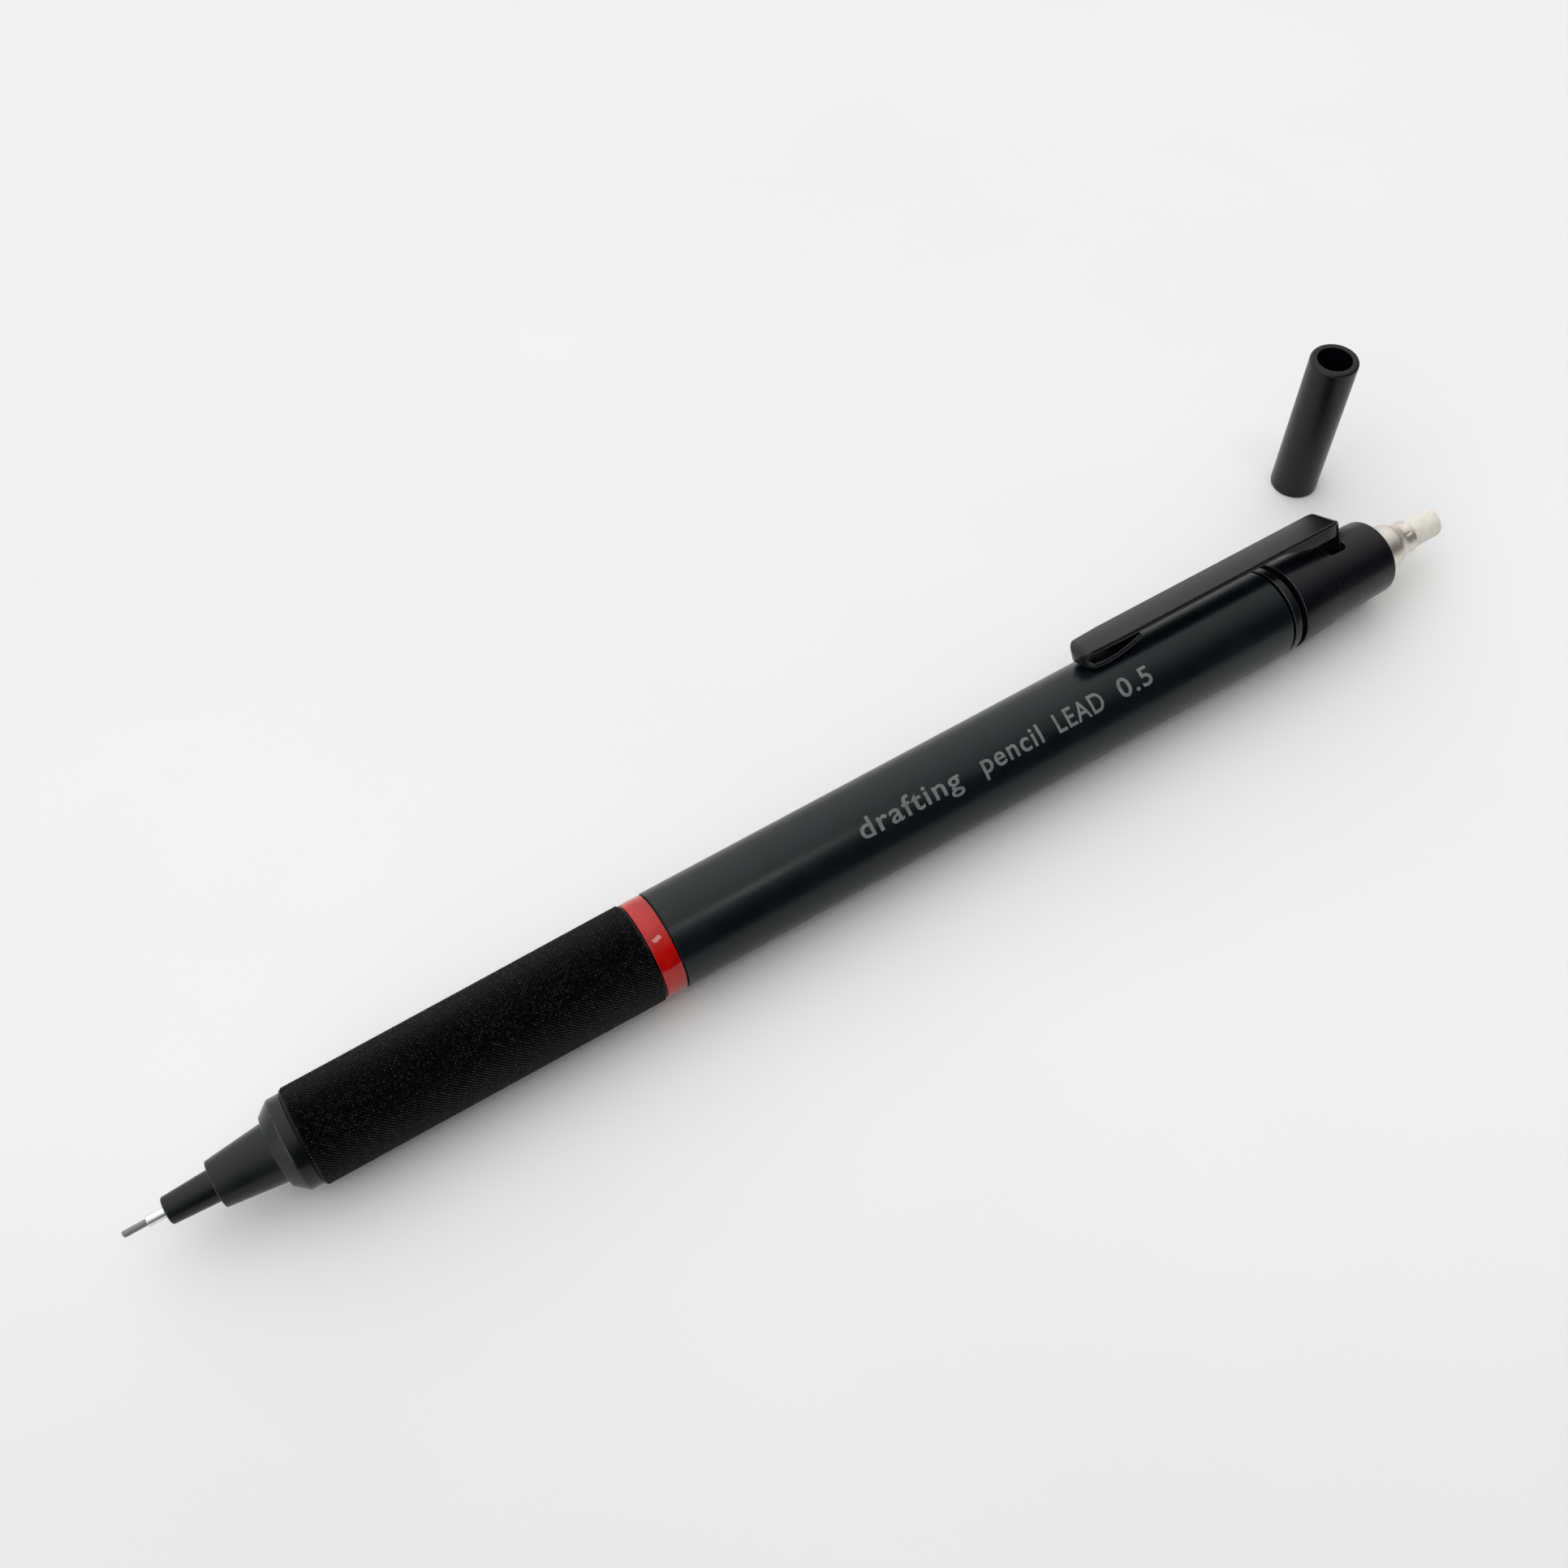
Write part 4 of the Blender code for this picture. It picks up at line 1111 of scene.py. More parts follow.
# ----------------------------------------------------------------------- grip
@dataclass
class Grip:
    """The finely knurled tube and the red ring behind it."""

    axle: Axle
    around: int = 84
    pitch: float = 0.33
    depth: float = 0.150
    front_radius: float = 4.34
    plain_end: float = 0.10
    end_drop: float = 0.16
    unevenness: float = 0.010
    rub_and_sheen_bias: float = 1.6
    crown: float = 0.035

    def knurl(self) -> None:
        """The diamond knurl: small pyramids between two sets of helical grooves."""
        span = span_of("grip_sleeve")
        bore = core_bore()
        columns = 2 * self.around
        start, end = span.front + self.plain_end, span.rear - self.plain_end
        rows = 2 * round((end - start) / self.pitch)
        j, i = np.meshgrid(np.arange(rows + 1), np.arange(columns), indexing="ij")
        distance = start + (end - start) * j / rows
        taper = span.radius - self.front_radius
        surface = self.front_radius + taper * (distance - span.front) / span.length
        random = np.random.default_rng(11)
        peak = ((i + j) % 2 == 1) & (j > 0) & (j < rows)
        tip = random.uniform(-self.unevenness, 0.0, peak.shape)
        radius = surface - np.where(peak, -tip, self.depth)
        angle = math.tau * i / columns
        d, r, a = distance.ravel(), radius.ravel(), angle.ravel()
        # Peaks lighten at random towards the rubbed-edge colour: polished wear on the peaks, and painted
        # glints.
        rub_and_sheen = np.where(peak, random.uniform(0.0, 1.0, peak.shape) ** self.rub_and_sheen_bias, 0.0).ravel()
        faces: list[tuple[int, ...]] = []
        for row in range(rows):
            for col in range(columns):
                n = (col + 1) % columns
                p = row * columns + col
                q = row * columns + n
                s, t = p + columns, q + columns
                if (row + col) % 2 == 0:
                    faces += [(p, q, t), (p, t, s)]
                else:
                    faces += [(p, q, s), (q, t, s)]
        ends = [(span.front, self.front_radius - self.end_drop), (span.front, bore),
                (span.rear, bore), (span.rear, span.radius - self.end_drop)]
        ring_angle = math.tau * np.arange(columns) / columns
        for x, rr in ends:
            d = np.append(d, np.full(columns, x))
            r = np.append(r, np.full(columns, rr))
            a = np.append(a, ring_angle)
            rub_and_sheen = np.append(rub_and_sheen, np.zeros(columns))
        loops = [0, *[(rows + 1 + k) * columns for k in range(len(ends))], rows * columns]
        for low, high in zip(loops, loops[1:]):
            for k in range(columns):
                n = (k + 1) % columns
                faces.append((low + k, low + n, high + n, high + k))
        piece = new_object("knurled_grip", self.axle.points(d, r, a), faces)
        store(piece, "rub_and_sheen", rub_and_sheen)
        seat(piece, BLACK_KNURL, Body.CASING, "black_knurled", "grip_sleeve")

    def ring(self) -> None:
        """The glossy red ring, with a hardly visible crown."""
        span = span_of("red_ring")
        bore = core_bore()
        middle = 0.5 * (span.front + span.rear)
        edge = span.radius - self.crown
        corners = [Corner(span.rear, bore), Corner(span.rear, edge, 0.06), Corner(middle, span.radius, 0.9),
                   Corner(span.front, edge, 0.08), Corner(span.front, bore)]
        piece = turn("red_colour_ring", self.axle, soften(corners, steps=6), sides=160)
        seat(piece, RED_GLOSS, Body.CASING, "red_gloss", "red_ring")

    def build(self) -> None:
        """Make the grip and its ring."""
        self.knurl()
        self.ring()


# --------------------------------------------------------------------- barrel
@dataclass(frozen=True)
class Word:
    """One printed word.

    Args:
        name: the piece's name.
        text: its letters.
        start: where it starts, in millimetres ahead of the barrel's rear end.
        width: its full width in millimetres.
    """

    name: str
    text: str
    start: float
    width: float


@dataclass
class Barrel:
    """The long plain barrel with its small grey print: plain words and the lead size."""

    axle: Axle
    print_angle: float = 24.5
    digit_height: float = 1.90
    boldness: float = 0.014
    letter_space: float = 1.12
    half_thickness: float = 0.01
    film: float = 0.010
    key: float = 0.030
    strip: float = 0.20
    strips: tuple[int, int] = (-6, 14)
    groove_depth: float = 0.32
    front_groove: float = 0.10
    rear_groove: float = 0.17
    words: tuple[Word, ...] = (
        Word("printed_word_drafting", "drafting", 48.15, 10.5),
        Word("printed_word_pencil", "pencil", 35.35, 6.6),
        Word("printed_word_lead", "LEAD", 27.10, 5.3),
        Word("printed_lead_size", "0.5", 19.95, 3.65),
    )

    def tube(self) -> None:
        """The barrel's tube, with a fine groove at each end."""
        span = span_of("barrel")
        bore = core_bore()
        floor = span.radius - self.groove_depth
        front, rear = span.front + self.front_groove, span.rear - self.rear_groove
        corners = [
            Corner(span.rear, bore),
            Corner(span.rear, floor),
            Corner(rear, floor),
            Corner(rear, span.radius, 0.09, 0.3),
            Corner(front, span.radius, 0.05, 0.3),
            Corner(front, floor),
            Corner(span.front, floor),
            Corner(span.front, bore),
        ]
        piece = turn("barrel_tube", self.axle, soften(corners), sides=180)
        seat(piece, CHARCOAL, Body.CASING, "charcoal_matt", "barrel")

    def letters(self, text: str) -> bmesh.types.BMesh:
        """Flat letters with a little thickness, in units of the type size.

        Args:
            text: what they say.

        Returns:
            Their mesh, cut into narrow strips so that it can bend round the barrel.
        """
        curve = bpy.data.curves.new("letters", "FONT")
        curve.body = text
        curve.offset = self.boldness
        curve.extrude = self.half_thickness
        curve.resolution_u = 8
        curve.space_character = self.letter_space
        holder = bpy.data.objects.new("letters", curve)
        bpy.context.scene.collection.objects.link(holder)
        bpy.context.view_layer.update()
        graph = bpy.context.evaluated_depsgraph_get()
        mesh = bpy.data.meshes.new_from_object(holder.evaluated_get(graph))
        work = bmesh.new()
        work.from_mesh(mesh)
        bmesh.ops.remove_doubles(work, verts=work.verts, dist=1e-5)
        bpy.data.objects.remove(holder)
        bpy.data.curves.remove(curve)
        bpy.data.meshes.remove(mesh)
        step = self.strip / self.digit_height
        for k in range(*self.strips):
            everything = work.verts[:] + work.edges[:] + work.faces[:]
            cut = (0.0, k * step, 0.0)
            bmesh.ops.bisect_plane(work, geom=everything, plane_co=cut, plane_no=(0.0, 1.0, 0.0))
        return work

    def lay(self, word: Word, tall: float) -> None:
        """Print one word on the barrel.

        Args:
            word: what to print, and where.
            tall: height of a figure in units of the type size.
        """
        span = span_of("barrel")
        work = self.letters(word.text)
        work.verts.ensure_lookup_table()
        flat = np.array([v.co[:] for v in work.verts])
        faces = [[v.index for v in face.verts] for face in work.faces]
        work.free()
        wide = np.ptp(flat[:, 0])
        along = span.rear - word.start + (flat[:, 0] - flat[:, 0].min()) * word.width / wide
        height = flat[:, 1] * self.digit_height / tall - 0.5 * self.digit_height
        radius = span.radius + np.where(flat[:, 2] > 0.0, self.film, -self.key)
        angle = math.radians(self.print_angle) - height / span.radius
        piece = new_object(word.name, self.axle.points(along, radius, angle), faces)
        seat(piece, GREY_INK, Body.CASING, None)

    def print_words(self) -> None:
        """Print every word at the height of the figure nought."""
        sample = self.letters("0")
        tall = max(v.co.y for v in sample.verts) - min(v.co.y for v in sample.verts)
        sample.free()
        for word in self.words:
            self.lay(word, tall)

    def build(self) -> None:
        """Make the barrel and its print."""
        self.tube()
        self.print_words()


# ------------------------------------------------------------------- back end
@dataclass
class Collar:
    """The spacer ring and the tapered collar that the clip is hooked in."""

    axle: Axle
    front: float = 4.45
    step: float = 4.12
    tube: float = 3.98
    end: float = 3.78
    cone_length: float = 4.75
    socket: float = 4.0
    bore: float = 2.40
    slot_half: float = 1.97
    slot_floor: float = 2.85
    slot_front_from_step: float = 0.80
    slot_play: float = 0.10
    slot_corner: float = 0.55

    def spacer(self) -> None:
        """The thin ring between two grooves."""
        span = span_of("spacer_ring")
        bore = core_bore()
        corners = [Corner(span.rear, bore), Corner(span.rear, span.radius, 0.09, 0.7),
                   Corner(span.front, span.radius, 0.09, 0.7), Corner(span.front, bore)]
        piece = turn("spacer_band", self.axle, soften(corners), sides=160)
        seat(piece, BLACK_MATT, Body.CASING, "black_matt", "spacer_ring")

    def sleeve(self) -> None:
        """The collar: a short cone, a fine step, a plain tube and a rounded end, with its slot."""
        span = span_of("clip_collar")
        bore = core_bore()
        step_x = span.front + self.cone_length
        corners = [
            Corner(span.rear, self.bore, 0.08),
            Corner(span.rear, self.end, 0.26, 0.4),
            Corner(step_x + 0.12, self.tube),
            # This fine step's edge is lightened strongly: a painted highlight line along the step, with some
            # rubbed wear.
            Corner(step_x, self.step, 0.05, 0.9),
            Corner(span.front, self.front, 0.09, 0.5),
            Corner(span.front, bore),
            Corner(span.front + self.socket, bore),
            Corner(span.front + self.socket, self.bore),
        ]
        piece = turn("clip_holder_collar", self.axle, soften(corners), sides=180)
        merge(piece, self.slot_cutter(step_x), Merge.CUT)
        shade(piece)
        seat(piece, BLACK_MATT, Body.CASING, "black_matt", "clip_collar")

    def slot_cutter(self, step_x: float) -> bpy.types.Object:
        """A block with round corners, stood on the clip's side of the collar.

        Args:
            step_x: place of the collar's fine step.

        Returns:
            A solid to cut the slot with.
        """
        front = step_x + self.slot_front_from_step
        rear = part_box("clip")[1].x / MM + self.slot_play
        middle = 0.5 * (front + rear)
        inset_x = 0.5 * (rear - front) - self.slot_corner
        inset_w = self.slot_half - self.slot_corner
        outline = [(middle + sx * inset_x + self.slot_corner * math.cos(t),
                    sw * inset_w + self.slot_corner * math.sin(t))
                   for sx, sw, t in round_corners(6)]
        out, side = clip_directions()
        clear_of_collar = self.front + 1.0
        verts = [self.axle.origin + self.axle.along * x + side * w + out * h
                 for h in (self.slot_floor, clear_of_collar) for x, w in outline]
        n = len(outline)
        faces = [list(range(n)), list(range(2 * n - 1, n - 1, -1))]
        faces += [[k, (k + 1) % n, n + (k + 1) % n, n + k] for k in range(n)]
        return new_object("slot_cutter", np.array([list(v) for v in verts]), faces)

    def build(self) -> None:
        """Make the spacer ring and the collar."""
        self.spacer()
        self.sleeve()


@dataclass
class Clip:
    """The clip: one strip of steel, folded back under itself at the nose and bent down at the rear."""

    axle: Axle
    width: float = 3.7
    thick: float = 0.55
    rise: float = 2.02
    tongue: float = 6.3
    land: float = 1.6
    land_gap: float = 0.05
    tongue_gap: float = 0.12
    bend: float = 1.00
    nose: float = 1.80
    corner: float = 1.25
    corner_squash: float = 0.9
    corner_lift: float = 0.085
    edge: float = 0.17
    foot: float = 2.90
    root_length: float = 8.0
    root_depth: float = 0.95
    root_swell: float = 1.7
    root_ahead: float = 0.15
    root_inset: float = 0.06
    root_buried: float = 0.10
    root_thinnest: float = 0.03
    root_stations: int = 18

    def middle_line(self, front: float, rear: float) -> list[tuple[float, float]]:
        """Middle line of the strip, as (place along the pencil, height above the axis).

        Args:
            front: place of the folded nose.
            rear: place of the leg's rear face.

        Returns:
            Points from the tongue's free end round to the leg's foot.
        """
        half = 0.5 * self.thick
        barrel = span_of("barrel").radius
        arm = barrel + self.rise - half
        land = barrel + self.land_gap + half
        fold = 0.5 * (arm - land)
        fold_x = front + fold + half
        lift = arm - self.thick - self.tongue_gap - land
        run = front + self.tongue - fold_x - self.land
        line: list[tuple[float, float]] = []
        for share in np.linspace(1.0, 0.0, 19).tolist():
            rises = lift * share * share * (3.0 - share) * 0.5
            line.append((fold_x + self.land + run * share, land + rises))
        line.append((fold_x + 0.5 * self.land, land))
        for t in np.radians(np.linspace(270.0, 90.0, 25)).tolist():
            line.append((fold_x + fold * math.cos(t), land + fold + fold * math.sin(t)))
        bend = self.bend - half
        leg = rear - half
        for i in range(1, 16):
            line.append((fold_x + (leg - bend - fold_x) * math.sin(0.5 * math.pi * i / 16), arm))
        for t in np.radians(np.linspace(90.0, 0.0, 13)).tolist():
            line.append((leg - bend + bend * math.cos(t), arm - bend + bend * math.sin(t)))
        line.append((leg, 0.5 * (arm - bend + self.foot) + 0.2))
        line.append((leg, self.foot + half))
        return line

    def half_width(self, x: float, front: float, rear: float) -> float:
        """Half the strip's width, narrower at its round nose and cut rear corners.

        Args:
            x: place along the pencil.
            front: place of the folded nose.
            rear: place of the leg's rear face.

        Returns:
            Half the width there.
        """
        half = 0.5 * self.width
        near = x - front
        if near < self.nose:
            gone = self.nose - near
            return half - self.nose + math.sqrt(max(self.nose ** 2 - gone ** 2, 0.0))
        back = rear - x
        if back < self.corner:
            gone = self.corner - back
            curve = self.corner_squash * math.sqrt(max(self.corner ** 2 - gone ** 2, 0.0))
            return half - self.corner + curve + self.corner_lift
        return half

    def build(self) -> None:
        """Sweep the strip's rounded section along its middle line, then thicken its root, which also fills
        the shaded gap under the arm.
        """
        low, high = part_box("clip")
        front, rear = low.x / MM, high.x / MM
        line = self.middle_line(front, rear)
        flat, soft = 0.5 * self.thick - self.edge, self.edge
        section = [(sn * flat + soft * math.cos(t), sw, soft * math.sin(t)) for sn, sw, t in round_corners(3)]
        out, side = clip_directions()
        verts: list[list[float]] = []
        rub_and_sheen: list[float] = []
        for i, (x, h) in enumerate(line):
            before = Vector(line[max(i - 1, 0)])
            after = Vector(line[min(i + 1, len(line) - 1)])
            along = (after - before).normalized()
            normal = Vector((-along.y, along.x))
            for n, sw, w in section:
                px, ph = x + normal.x * n, h + normal.y * n
                half = self.half_width(min(max(px, front), rear), front, rear)
                across = sw * (half - soft) + w
                verts.append(list(self.axle.origin + self.axle.along * px + out * ph + side * across))
                # The strip's rounded edges are lightened: rubbed wear and a painted edge sheen.
                rub_and_sheen.append(0.8 if abs(n) > flat + 0.3 * soft and abs(w) > 0.3 * soft else 0.0)
        size = len(section)
        faces: list[list[int]] = []
        for i in range(len(line) - 1):
            for k in range(size):
                n = (k + 1) % size
                faces.append([i * size + k, i * size + n, (i + 1) * size + n, (i + 1) * size + k])
        last = (len(line) - 1) * size
        faces += [list(range(size)), list(range(last, last + size))]
        piece = new_object("spring_clip", np.array(verts), faces)
        store(piece, "rub_and_sheen", np.array(rub_and_sheen))
        merge(piece, self.root(front, rear), Merge.ADD)
        shade(piece, 40.0)
        seat(piece, CLIP_COAT, Body.CLIP, "black_lacquered_steel", "clip")

    def root(self, front: float, rear: float) -> bpy.types.Object:
        """The thicker root under the rear of the strip, deeper towards the leg: partly the clip's folded
        root, partly a dark solid put into the shaded gap under the arm as painted shade.

        Args:
            front: place of the folded nose.
            rear: place of the leg's rear face.

        Returns:
            A solid to add to the strip.
        """
        under = span_of("barrel").radius + self.rise - self.thick
        reach = self.root_length - 0.5 * self.thick
        top = under + self.root_buried
        out, side = clip_directions()
        verts: list[list[float]] = []
        faces: list[list[int]] = []
        for k in range(self.root_stations):
            share = k / (self.root_stations - 1)
            x = rear - self.root_length + reach * share
            swell = min(1.0, self.root_swell * share)
            low = under + self.root_thinnest - self.root_depth * swell * swell * (3.0 - 2.0 * swell)
            wide = self.half_width(x + self.root_ahead, front, rear) - self.root_inset
            for h, w in ((top, wide), (low, wide), (low, -wide), (top, -wide)):
                verts.append(list(self.axle.origin + self.axle.along * x + out * h + side * w))
        last = 4 * (self.root_stations - 1)
        for first in range(0, last, 4):
            for i in range(4):
                n = (i + 1) % 4
                faces.append([first + i, first + n, first + 4 + n, first + 4 + i])
        faces += [[0, 1, 2, 3], [last, last + 1, last + 2, last + 3]]
        # A dark solid that stands partly for the folded root and partly for painted shade in the gap under
        # the arm.
        block = new_object("clip_root_and_shade_fill", np.array(verts), faces)
        store(block, "rub_and_sheen", np.zeros(len(verts)))
        return block


@dataclass
class BackEnd:
    """The flared ferrule with its crimps and the small eraser in it."""

    axle: Axle
    skirt: float = 2.30
    mouth: float = 1.67
    wall: float = 0.14
    flare: float = 1.60
    lip: float = 1.0
    skirt_bore: float = 1.80
    seat_depth: float = 0.55
    ring_step: float = 0.1
    crimp_depth: float = 0.055
    crimp_place: float = 0.62
    crimp_stagger: float = 0.18
    crimp_reach: float = 0.36
    crimp_width: float = 0.13
    crimp_angles: tuple[float, ...] = (-8.0, 26.0, 112.0, 146.0, 232.0, 266.0)
    eraser_round: float = 0.42
    eraser_worn: float = 1.3
    eraser_slant: float = 0.10
    eraser_worn_side: float = 0.9
    eraser_ripple: float = 0.022

    def ferrule(self) -> None:
        """The thin cup: skirt, rolled flare and a mouth pinched on to the eraser."""
        span = span_of("eraser_ferrule")
        mouth_x = span.rear - self.lip
        stop = span_of("eraser").front - self.seat_depth
        inner = self.mouth - self.wall
        roll = []
        for i in range(9):
            t = i / 8
            share = 0.5 - 0.5 * math.cos(math.pi * t)
            roll.append(Corner(mouth_x - self.flare * t, self.mouth + (self.skirt - self.mouth) * share))
        outside = [Corner(span.rear - self.ring_step * k, self.mouth) for k in range(1, 10)]
        inside = [Corner(span.rear - self.ring_step * k, inner) for k in range(14, 0, -1)]
        corners = [Corner(span.rear, self.mouth, 0.05, 0.3), *outside, *roll,
                   Corner(span.front, self.skirt, 0.10), Corner(span.front, self.skirt_bore),
                   Corner(stop, self.skirt_bore), Corner(stop + 0.5, inner),
                   *inside, Corner(span.rear, inner, 0.04)]

        def pinch(d: np.ndarray, r: np.ndarray, a: np.ndarray) -> tuple[np.ndarray, np.ndarray]:
            """Press short grooves into the mouth, on the outside.

            Args:
                d: distances along the axle.
                r: distances from it.
                a: angles about it, in radians.

            Returns:
                The new distances along and from the axle.
            """
            moved = r.copy()
            outer = r > self.mouth - 0.5 * self.wall
            for k, degrees in enumerate(self.crimp_angles):
                off = (a - math.radians(degrees) + math.pi) % math.tau - math.pi
                place = span.rear - self.crimp_place - self.crimp_stagger * (k % 2)
                lengthwise = np.exp(-(((d - place) / self.crimp_reach) ** 4))
                across = np.exp(-((off * self.mouth / self.crimp_width) ** 2))
                moved -= np.where(outer, self.crimp_depth * lengthwise * across, 0.0)
            return d, moved

        piece = turn("flared_ferrule", self.axle, soften(corners), sides=192, reshape=pinch)
        seat(piece, NICKEL, Body.PLUNGER, "nickel", "eraser_ferrule")

    def eraser(self) -> None:
        """The eraser: a short round stick, rubbed uneven at its outer end."""
        span = span_of("eraser")
        r = span.radius
        xs = np.linspace(span.front, span.rear - self.eraser_round - 0.02, 26)
        corners = [Corner(span.rear, 0.0), *[Corner(span.rear, r * k / 6) for k in range(1, 5)],
                   Corner(span.rear, r, self.eraser_round), *[Corner(float(x), r) for x in xs[::-1]],
                   Corner(span.front, 0.0)]
        profile = soften(corners, closed=False, steps=8)

        def rub_off(d: np.ndarray, rad: np.ndarray, a: np.ndarray) -> tuple[np.ndarray, np.ndarray]:
            """Wear the outer end away on one side and pit it slightly, never outwards.

            Args:
                d: distances along the axle.
                rad: distances from it.
                a: angles about it, in radians.

            Returns:
                The new distances along and from the axle.
            """
            near = np.clip((d - (span.rear - self.eraser_worn)) / self.eraser_worn, 0.0, 1.0)
            slant = self.eraser_slant * near * (rad / r) * (1.0 + np.cos(a - self.eraser_worn_side))
            ripple = 0.5 + 0.5 * np.sin(3.0 * a + 5.0 * d) * np.sin(2.0 * d + 1.3 * a)
            return d - slant, rad * (1.0 - self.eraser_ripple * near * ripple)

        piece = turn("white_eraser", self.axle, profile, False, 96, rub_off)
        seat(piece, VINYL, Body.ERASER, "white_vinyl", "eraser")

    def build(self) -> None:
        """Make the ferrule and the eraser."""
        self.ferrule()
        self.eraser()


@dataclass
class PushCap:
    """The loose cap: a plain tube with a closed foot and a rounded rim."""

    bore: float = 1.71
    depth: float = 12.5
    mouth_round: float = 0.56
    foot_round: float = 0.30
    lip: float = 0.02

    def build(self) -> None:
        """Turn the cap about its own axis."""
        low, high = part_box("push_cap")
        axle = cap_axle()
        height = (high.z - low.z) / MM
        radius = 0.5 * (high.x - low.x) / MM
        floor = height - self.depth
        corners = [
            Corner(floor, 0.0),
            Corner(floor, self.bore, 0.10),
            Corner(height - 0.30, self.bore),
            Corner(height, self.bore + self.lip, 0.06, 0.4),
            Corner(height, radius, self.mouth_round, 0.25),
            Corner(0.0, radius, self.foot_round, 0.25),
            Corner(0.0, 0.0),
        ]
        piece = turn("standing_cap", axle, soften(corners, closed=False, steps=8), False, 128)
        seat(piece, CAP_MATT, Body.CAP, "black_matt", "push_cap")


# --------------------------------------------------------------------- inside
@dataclass
class Inside:
    """The works inside the casing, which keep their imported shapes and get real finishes."""

    finishes: dict[str, Finish] = field(default_factory=lambda: {
        "lead_retainer": RUBBER,
        "grip_core": BRASS,
        "collar_insert": BLACK_SATIN,
        "tube_guide_bush": ACETAL,
        "mechanism_sleeve": BRASS,
        "cushion_spring": SPRING,
        "chuck_jaw_1": BRASS,
        "chuck_jaw_2": BRASS,
        "chuck_jaw_3": BRASS,
        "clutch_ring": BRASS,
        "chuck_body": BRASS,
        "return_spring": SPRING,
        "tube_coupler": ACETAL,
        "lead_tube": ACETAL,
    })

    def build(self) -> None:
        """Dress each inner node."""
        for node, finish in self.finishes.items():
            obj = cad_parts[node]
            wear(obj, finish)
            LOG.info("%s dressed as %s", node, finish.name)


# --------------------------------------------------------------------- studio
@dataclass(frozen=True)
class Glow:
    """One soft patch of the room's light.

    Args:
        towards: where it is brightest, as a direction from the table.
        narrowness: how fast it fades away from there.
        light: its brightness.
    """

    towards: Triple
    narrowness: float
    light: float


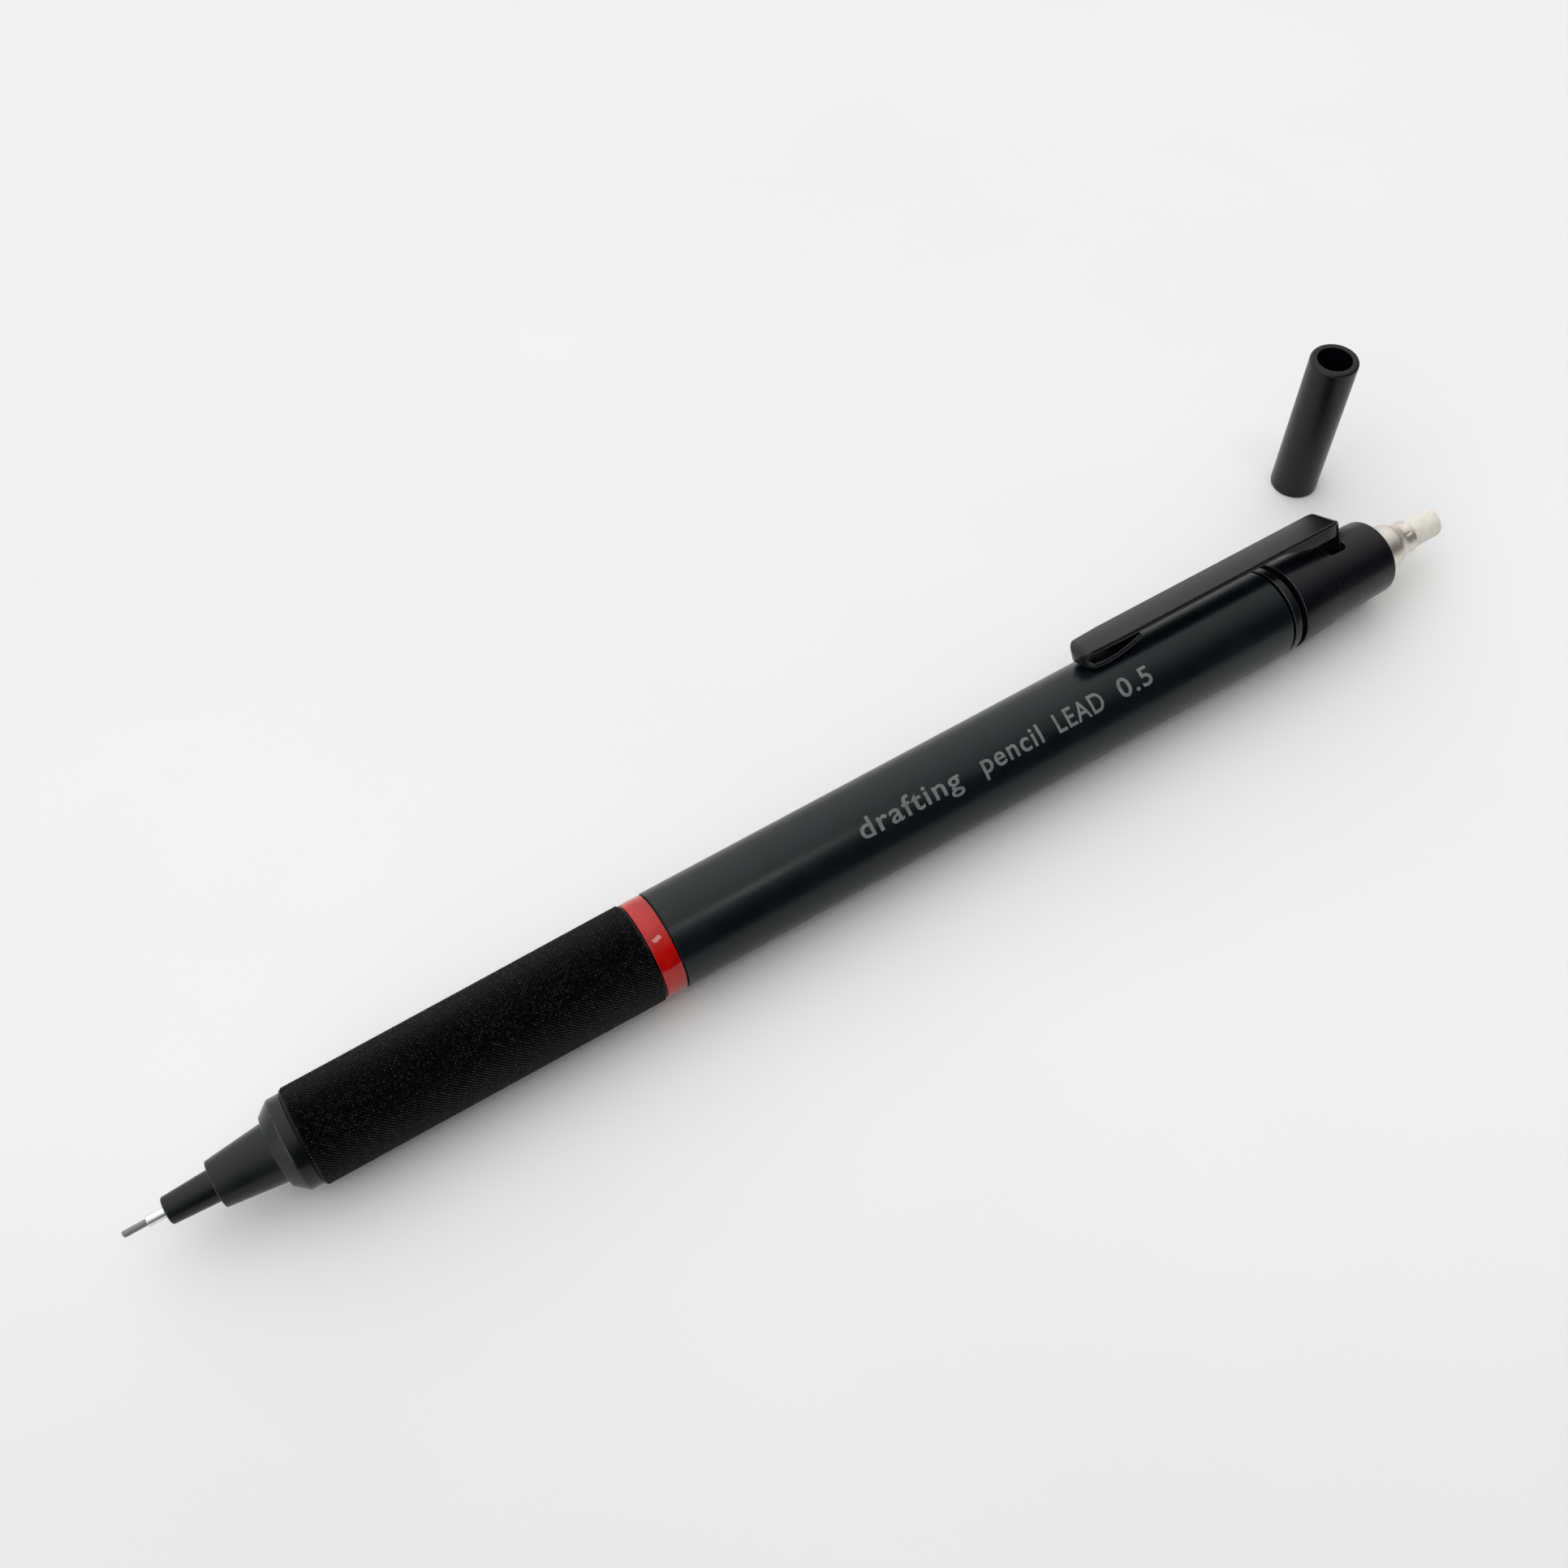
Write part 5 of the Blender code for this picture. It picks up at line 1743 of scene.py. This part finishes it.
@dataclass
class Studio:
    """A pale table with painted shade towards its near side, soft light from behind and above, and the
    camera.
    """

    lens: float = 36.056
    sensor: float = 36.0
    azimuth: float = 29.710
    elevation: float = 56.155
    roll: float = -2.416
    distance: float = 143.11
    aim_x: float = -3.54
    aim_y: float = 1.95
    table_size: float = 3000.0
    table_tone: Colour = (0.835, 0.84, 0.84)
    table_mottle: Colour = (0.86, 0.862, 0.86)
    # Painted shade: the table darkens to this tone towards its near side, over this range of distances in
    # millimetres.
    painted_shade_tone: Colour = (0.60, 0.60, 0.59)
    painted_shade_way: Triple = (-0.50, -0.87, 0.0)
    painted_shade_range: tuple[float, float] = (25.0, 165.0)
    glows: tuple[Glow, ...] = (
        Glow((-0.10, 0.62, 0.76), 1.2, 1.57),
        Glow((-0.88, -0.32, 0.36), 6.0, 1.80),
    )
    room_light: float = 0.04
    backdrop: float = 0.86
    lamp_place: Triple = (0.057, -0.159, 0.474)
    lamp_size: float = 0.085
    lamp_power: float = 0.115
    lamp_colour: Colour = (1.0, 0.995, 0.985)

    def table(self) -> None:
        """The table top, faintly mottled like coated board and darkened by painted shade towards its near
        side.
        """
        half = 0.5 * self.table_size
        verts = np.array([[-half, -half, 0.0], [half, -half, 0.0], [half, half, 0.0], [-half, half, 0.0]])
        piece = new_object("table_top", verts, [[0, 1, 2, 3]])
        board = Board("pale_table")
        cloud = board.noise(0.02, detail=3.0)
        fine = board.noise(1.5, detail=3.0)
        mottle = board.sway(cloud, 0.0, 1.0)
        base = board.mix(mottle, solid(self.table_tone), solid(self.table_mottle))
        # Painted shade: the table's colour darkens towards the near side.
        towards_painted_shade = board.dot(board.places(), self.painted_shade_way)
        painted_shade_share = board.spread(towards_painted_shade, *self.painted_shade_range, 0.0, 1.0)
        base = board.mix(painted_shade_share, base, solid(self.painted_shade_tone))
        board.set(Base_Color=base, Specular_IOR_Level=0.3)
        board.set(Roughness=board.sway(fine, 0.52, 0.62))
        board.bump((fine, 0.004))
        piece.data.materials.append(board.material)
        piece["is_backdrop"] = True

    def camera(self) -> None:
        """The camera, looking down across the pencil from its point's side."""
        low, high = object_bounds()
        centre = 0.5 * (low + high)
        axis_z = pencil_axle().origin.z * MM
        aim = Vector((centre.x + self.aim_x * MM, centre.y + self.aim_y * MM, axis_z))
        az, el, roll = (math.radians(v) for v in (self.azimuth, self.elevation, self.roll))
        forward = Vector((math.sin(az) * math.cos(el), math.cos(az) * math.cos(el), -math.sin(el)))
        right = Vector((math.cos(az), -math.sin(az), 0.0))
        up = right.cross(forward)
        rolled = right * math.cos(roll) + up * math.sin(roll)
        above = up * math.cos(roll) - right * math.sin(roll)
        data = bpy.data.cameras.new("camera")
        data.lens = self.lens
        data.sensor_width = self.sensor
        data.clip_start = 0.005
        data.clip_end = 10.0
        obj = bpy.data.objects.new("camera", data)
        bpy.context.scene.collection.objects.link(obj)
        turned = Matrix((rolled, above, -forward)).transposed().to_4x4()
        obj.matrix_world = Matrix.Translation(aim - forward * self.distance * MM) @ turned
        bpy.context.scene.camera = obj

    def lamp(self) -> None:
        """A square soft lamp, hung in metres and watts, that faces the middle of the object."""
        data = bpy.data.lights.new("ceiling_lamp", "AREA")
        data.shape = "SQUARE"
        data.size = self.lamp_size
        data.energy = self.lamp_power
        data.color = self.lamp_colour
        obj = bpy.data.objects.new("ceiling_lamp", data)
        bpy.context.scene.collection.objects.link(obj)
        obj.location = self.lamp_place
        obj.rotation_mode = "QUATERNION"
        obj.rotation_quaternion = (-Vector(self.lamp_place)).to_track_quat("-Z", "Y")

    def sky(self) -> None:
        """Room light: bright behind the pencil, dim on the near side."""
        world = bpy.data.worlds.new("room")
        bpy.context.scene.world = world
        world.use_nodes = True
        nodes = Nodes(world.node_tree)
        where = nodes.node("ShaderNodeTexCoord").outputs["Generated"]
        level: Any = self.room_light
        for glow in self.glows:
            facing = nodes.sum("MAXIMUM", nodes.dot(where, Vector(glow.towards).normalized()), 0.0)
            fading = nodes.sum("POWER", facing, glow.narrowness)
            level = nodes.sum("ADD", nodes.sum("MULTIPLY", fading, glow.light), level)
        seen = nodes.node("ShaderNodeLightPath").outputs["Is Camera Ray"]
        back = world.node_tree.nodes["Background"]
        nodes.join(nodes.mix(seen, level, grey(self.backdrop)), back.inputs["Color"])
        back.inputs["Strength"].default_value = 1.0

    def build(self) -> None:
        """Set the table, lights and camera."""
        self.table()
        self.sky()
        self.lamp()
        self.camera()
        bpy.context.scene.view_settings.view_transform = "Standard"


def main() -> None:
    """Build every sub-assembly in order, then set the studio."""
    logging.basicConfig(level=logging.INFO, format="%(message)s")
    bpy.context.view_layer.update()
    axle = pencil_axle()
    groups = [kind(axle) for kind in (Point, Grip, Barrel, Collar, Clip, BackEnd)]
    for group in (*groups, PushCap(), Inside()):
        group.build()
        LOG.info("%s done", type(group).__name__)
    Studio().build()


if __name__ == "__main__":
    main()
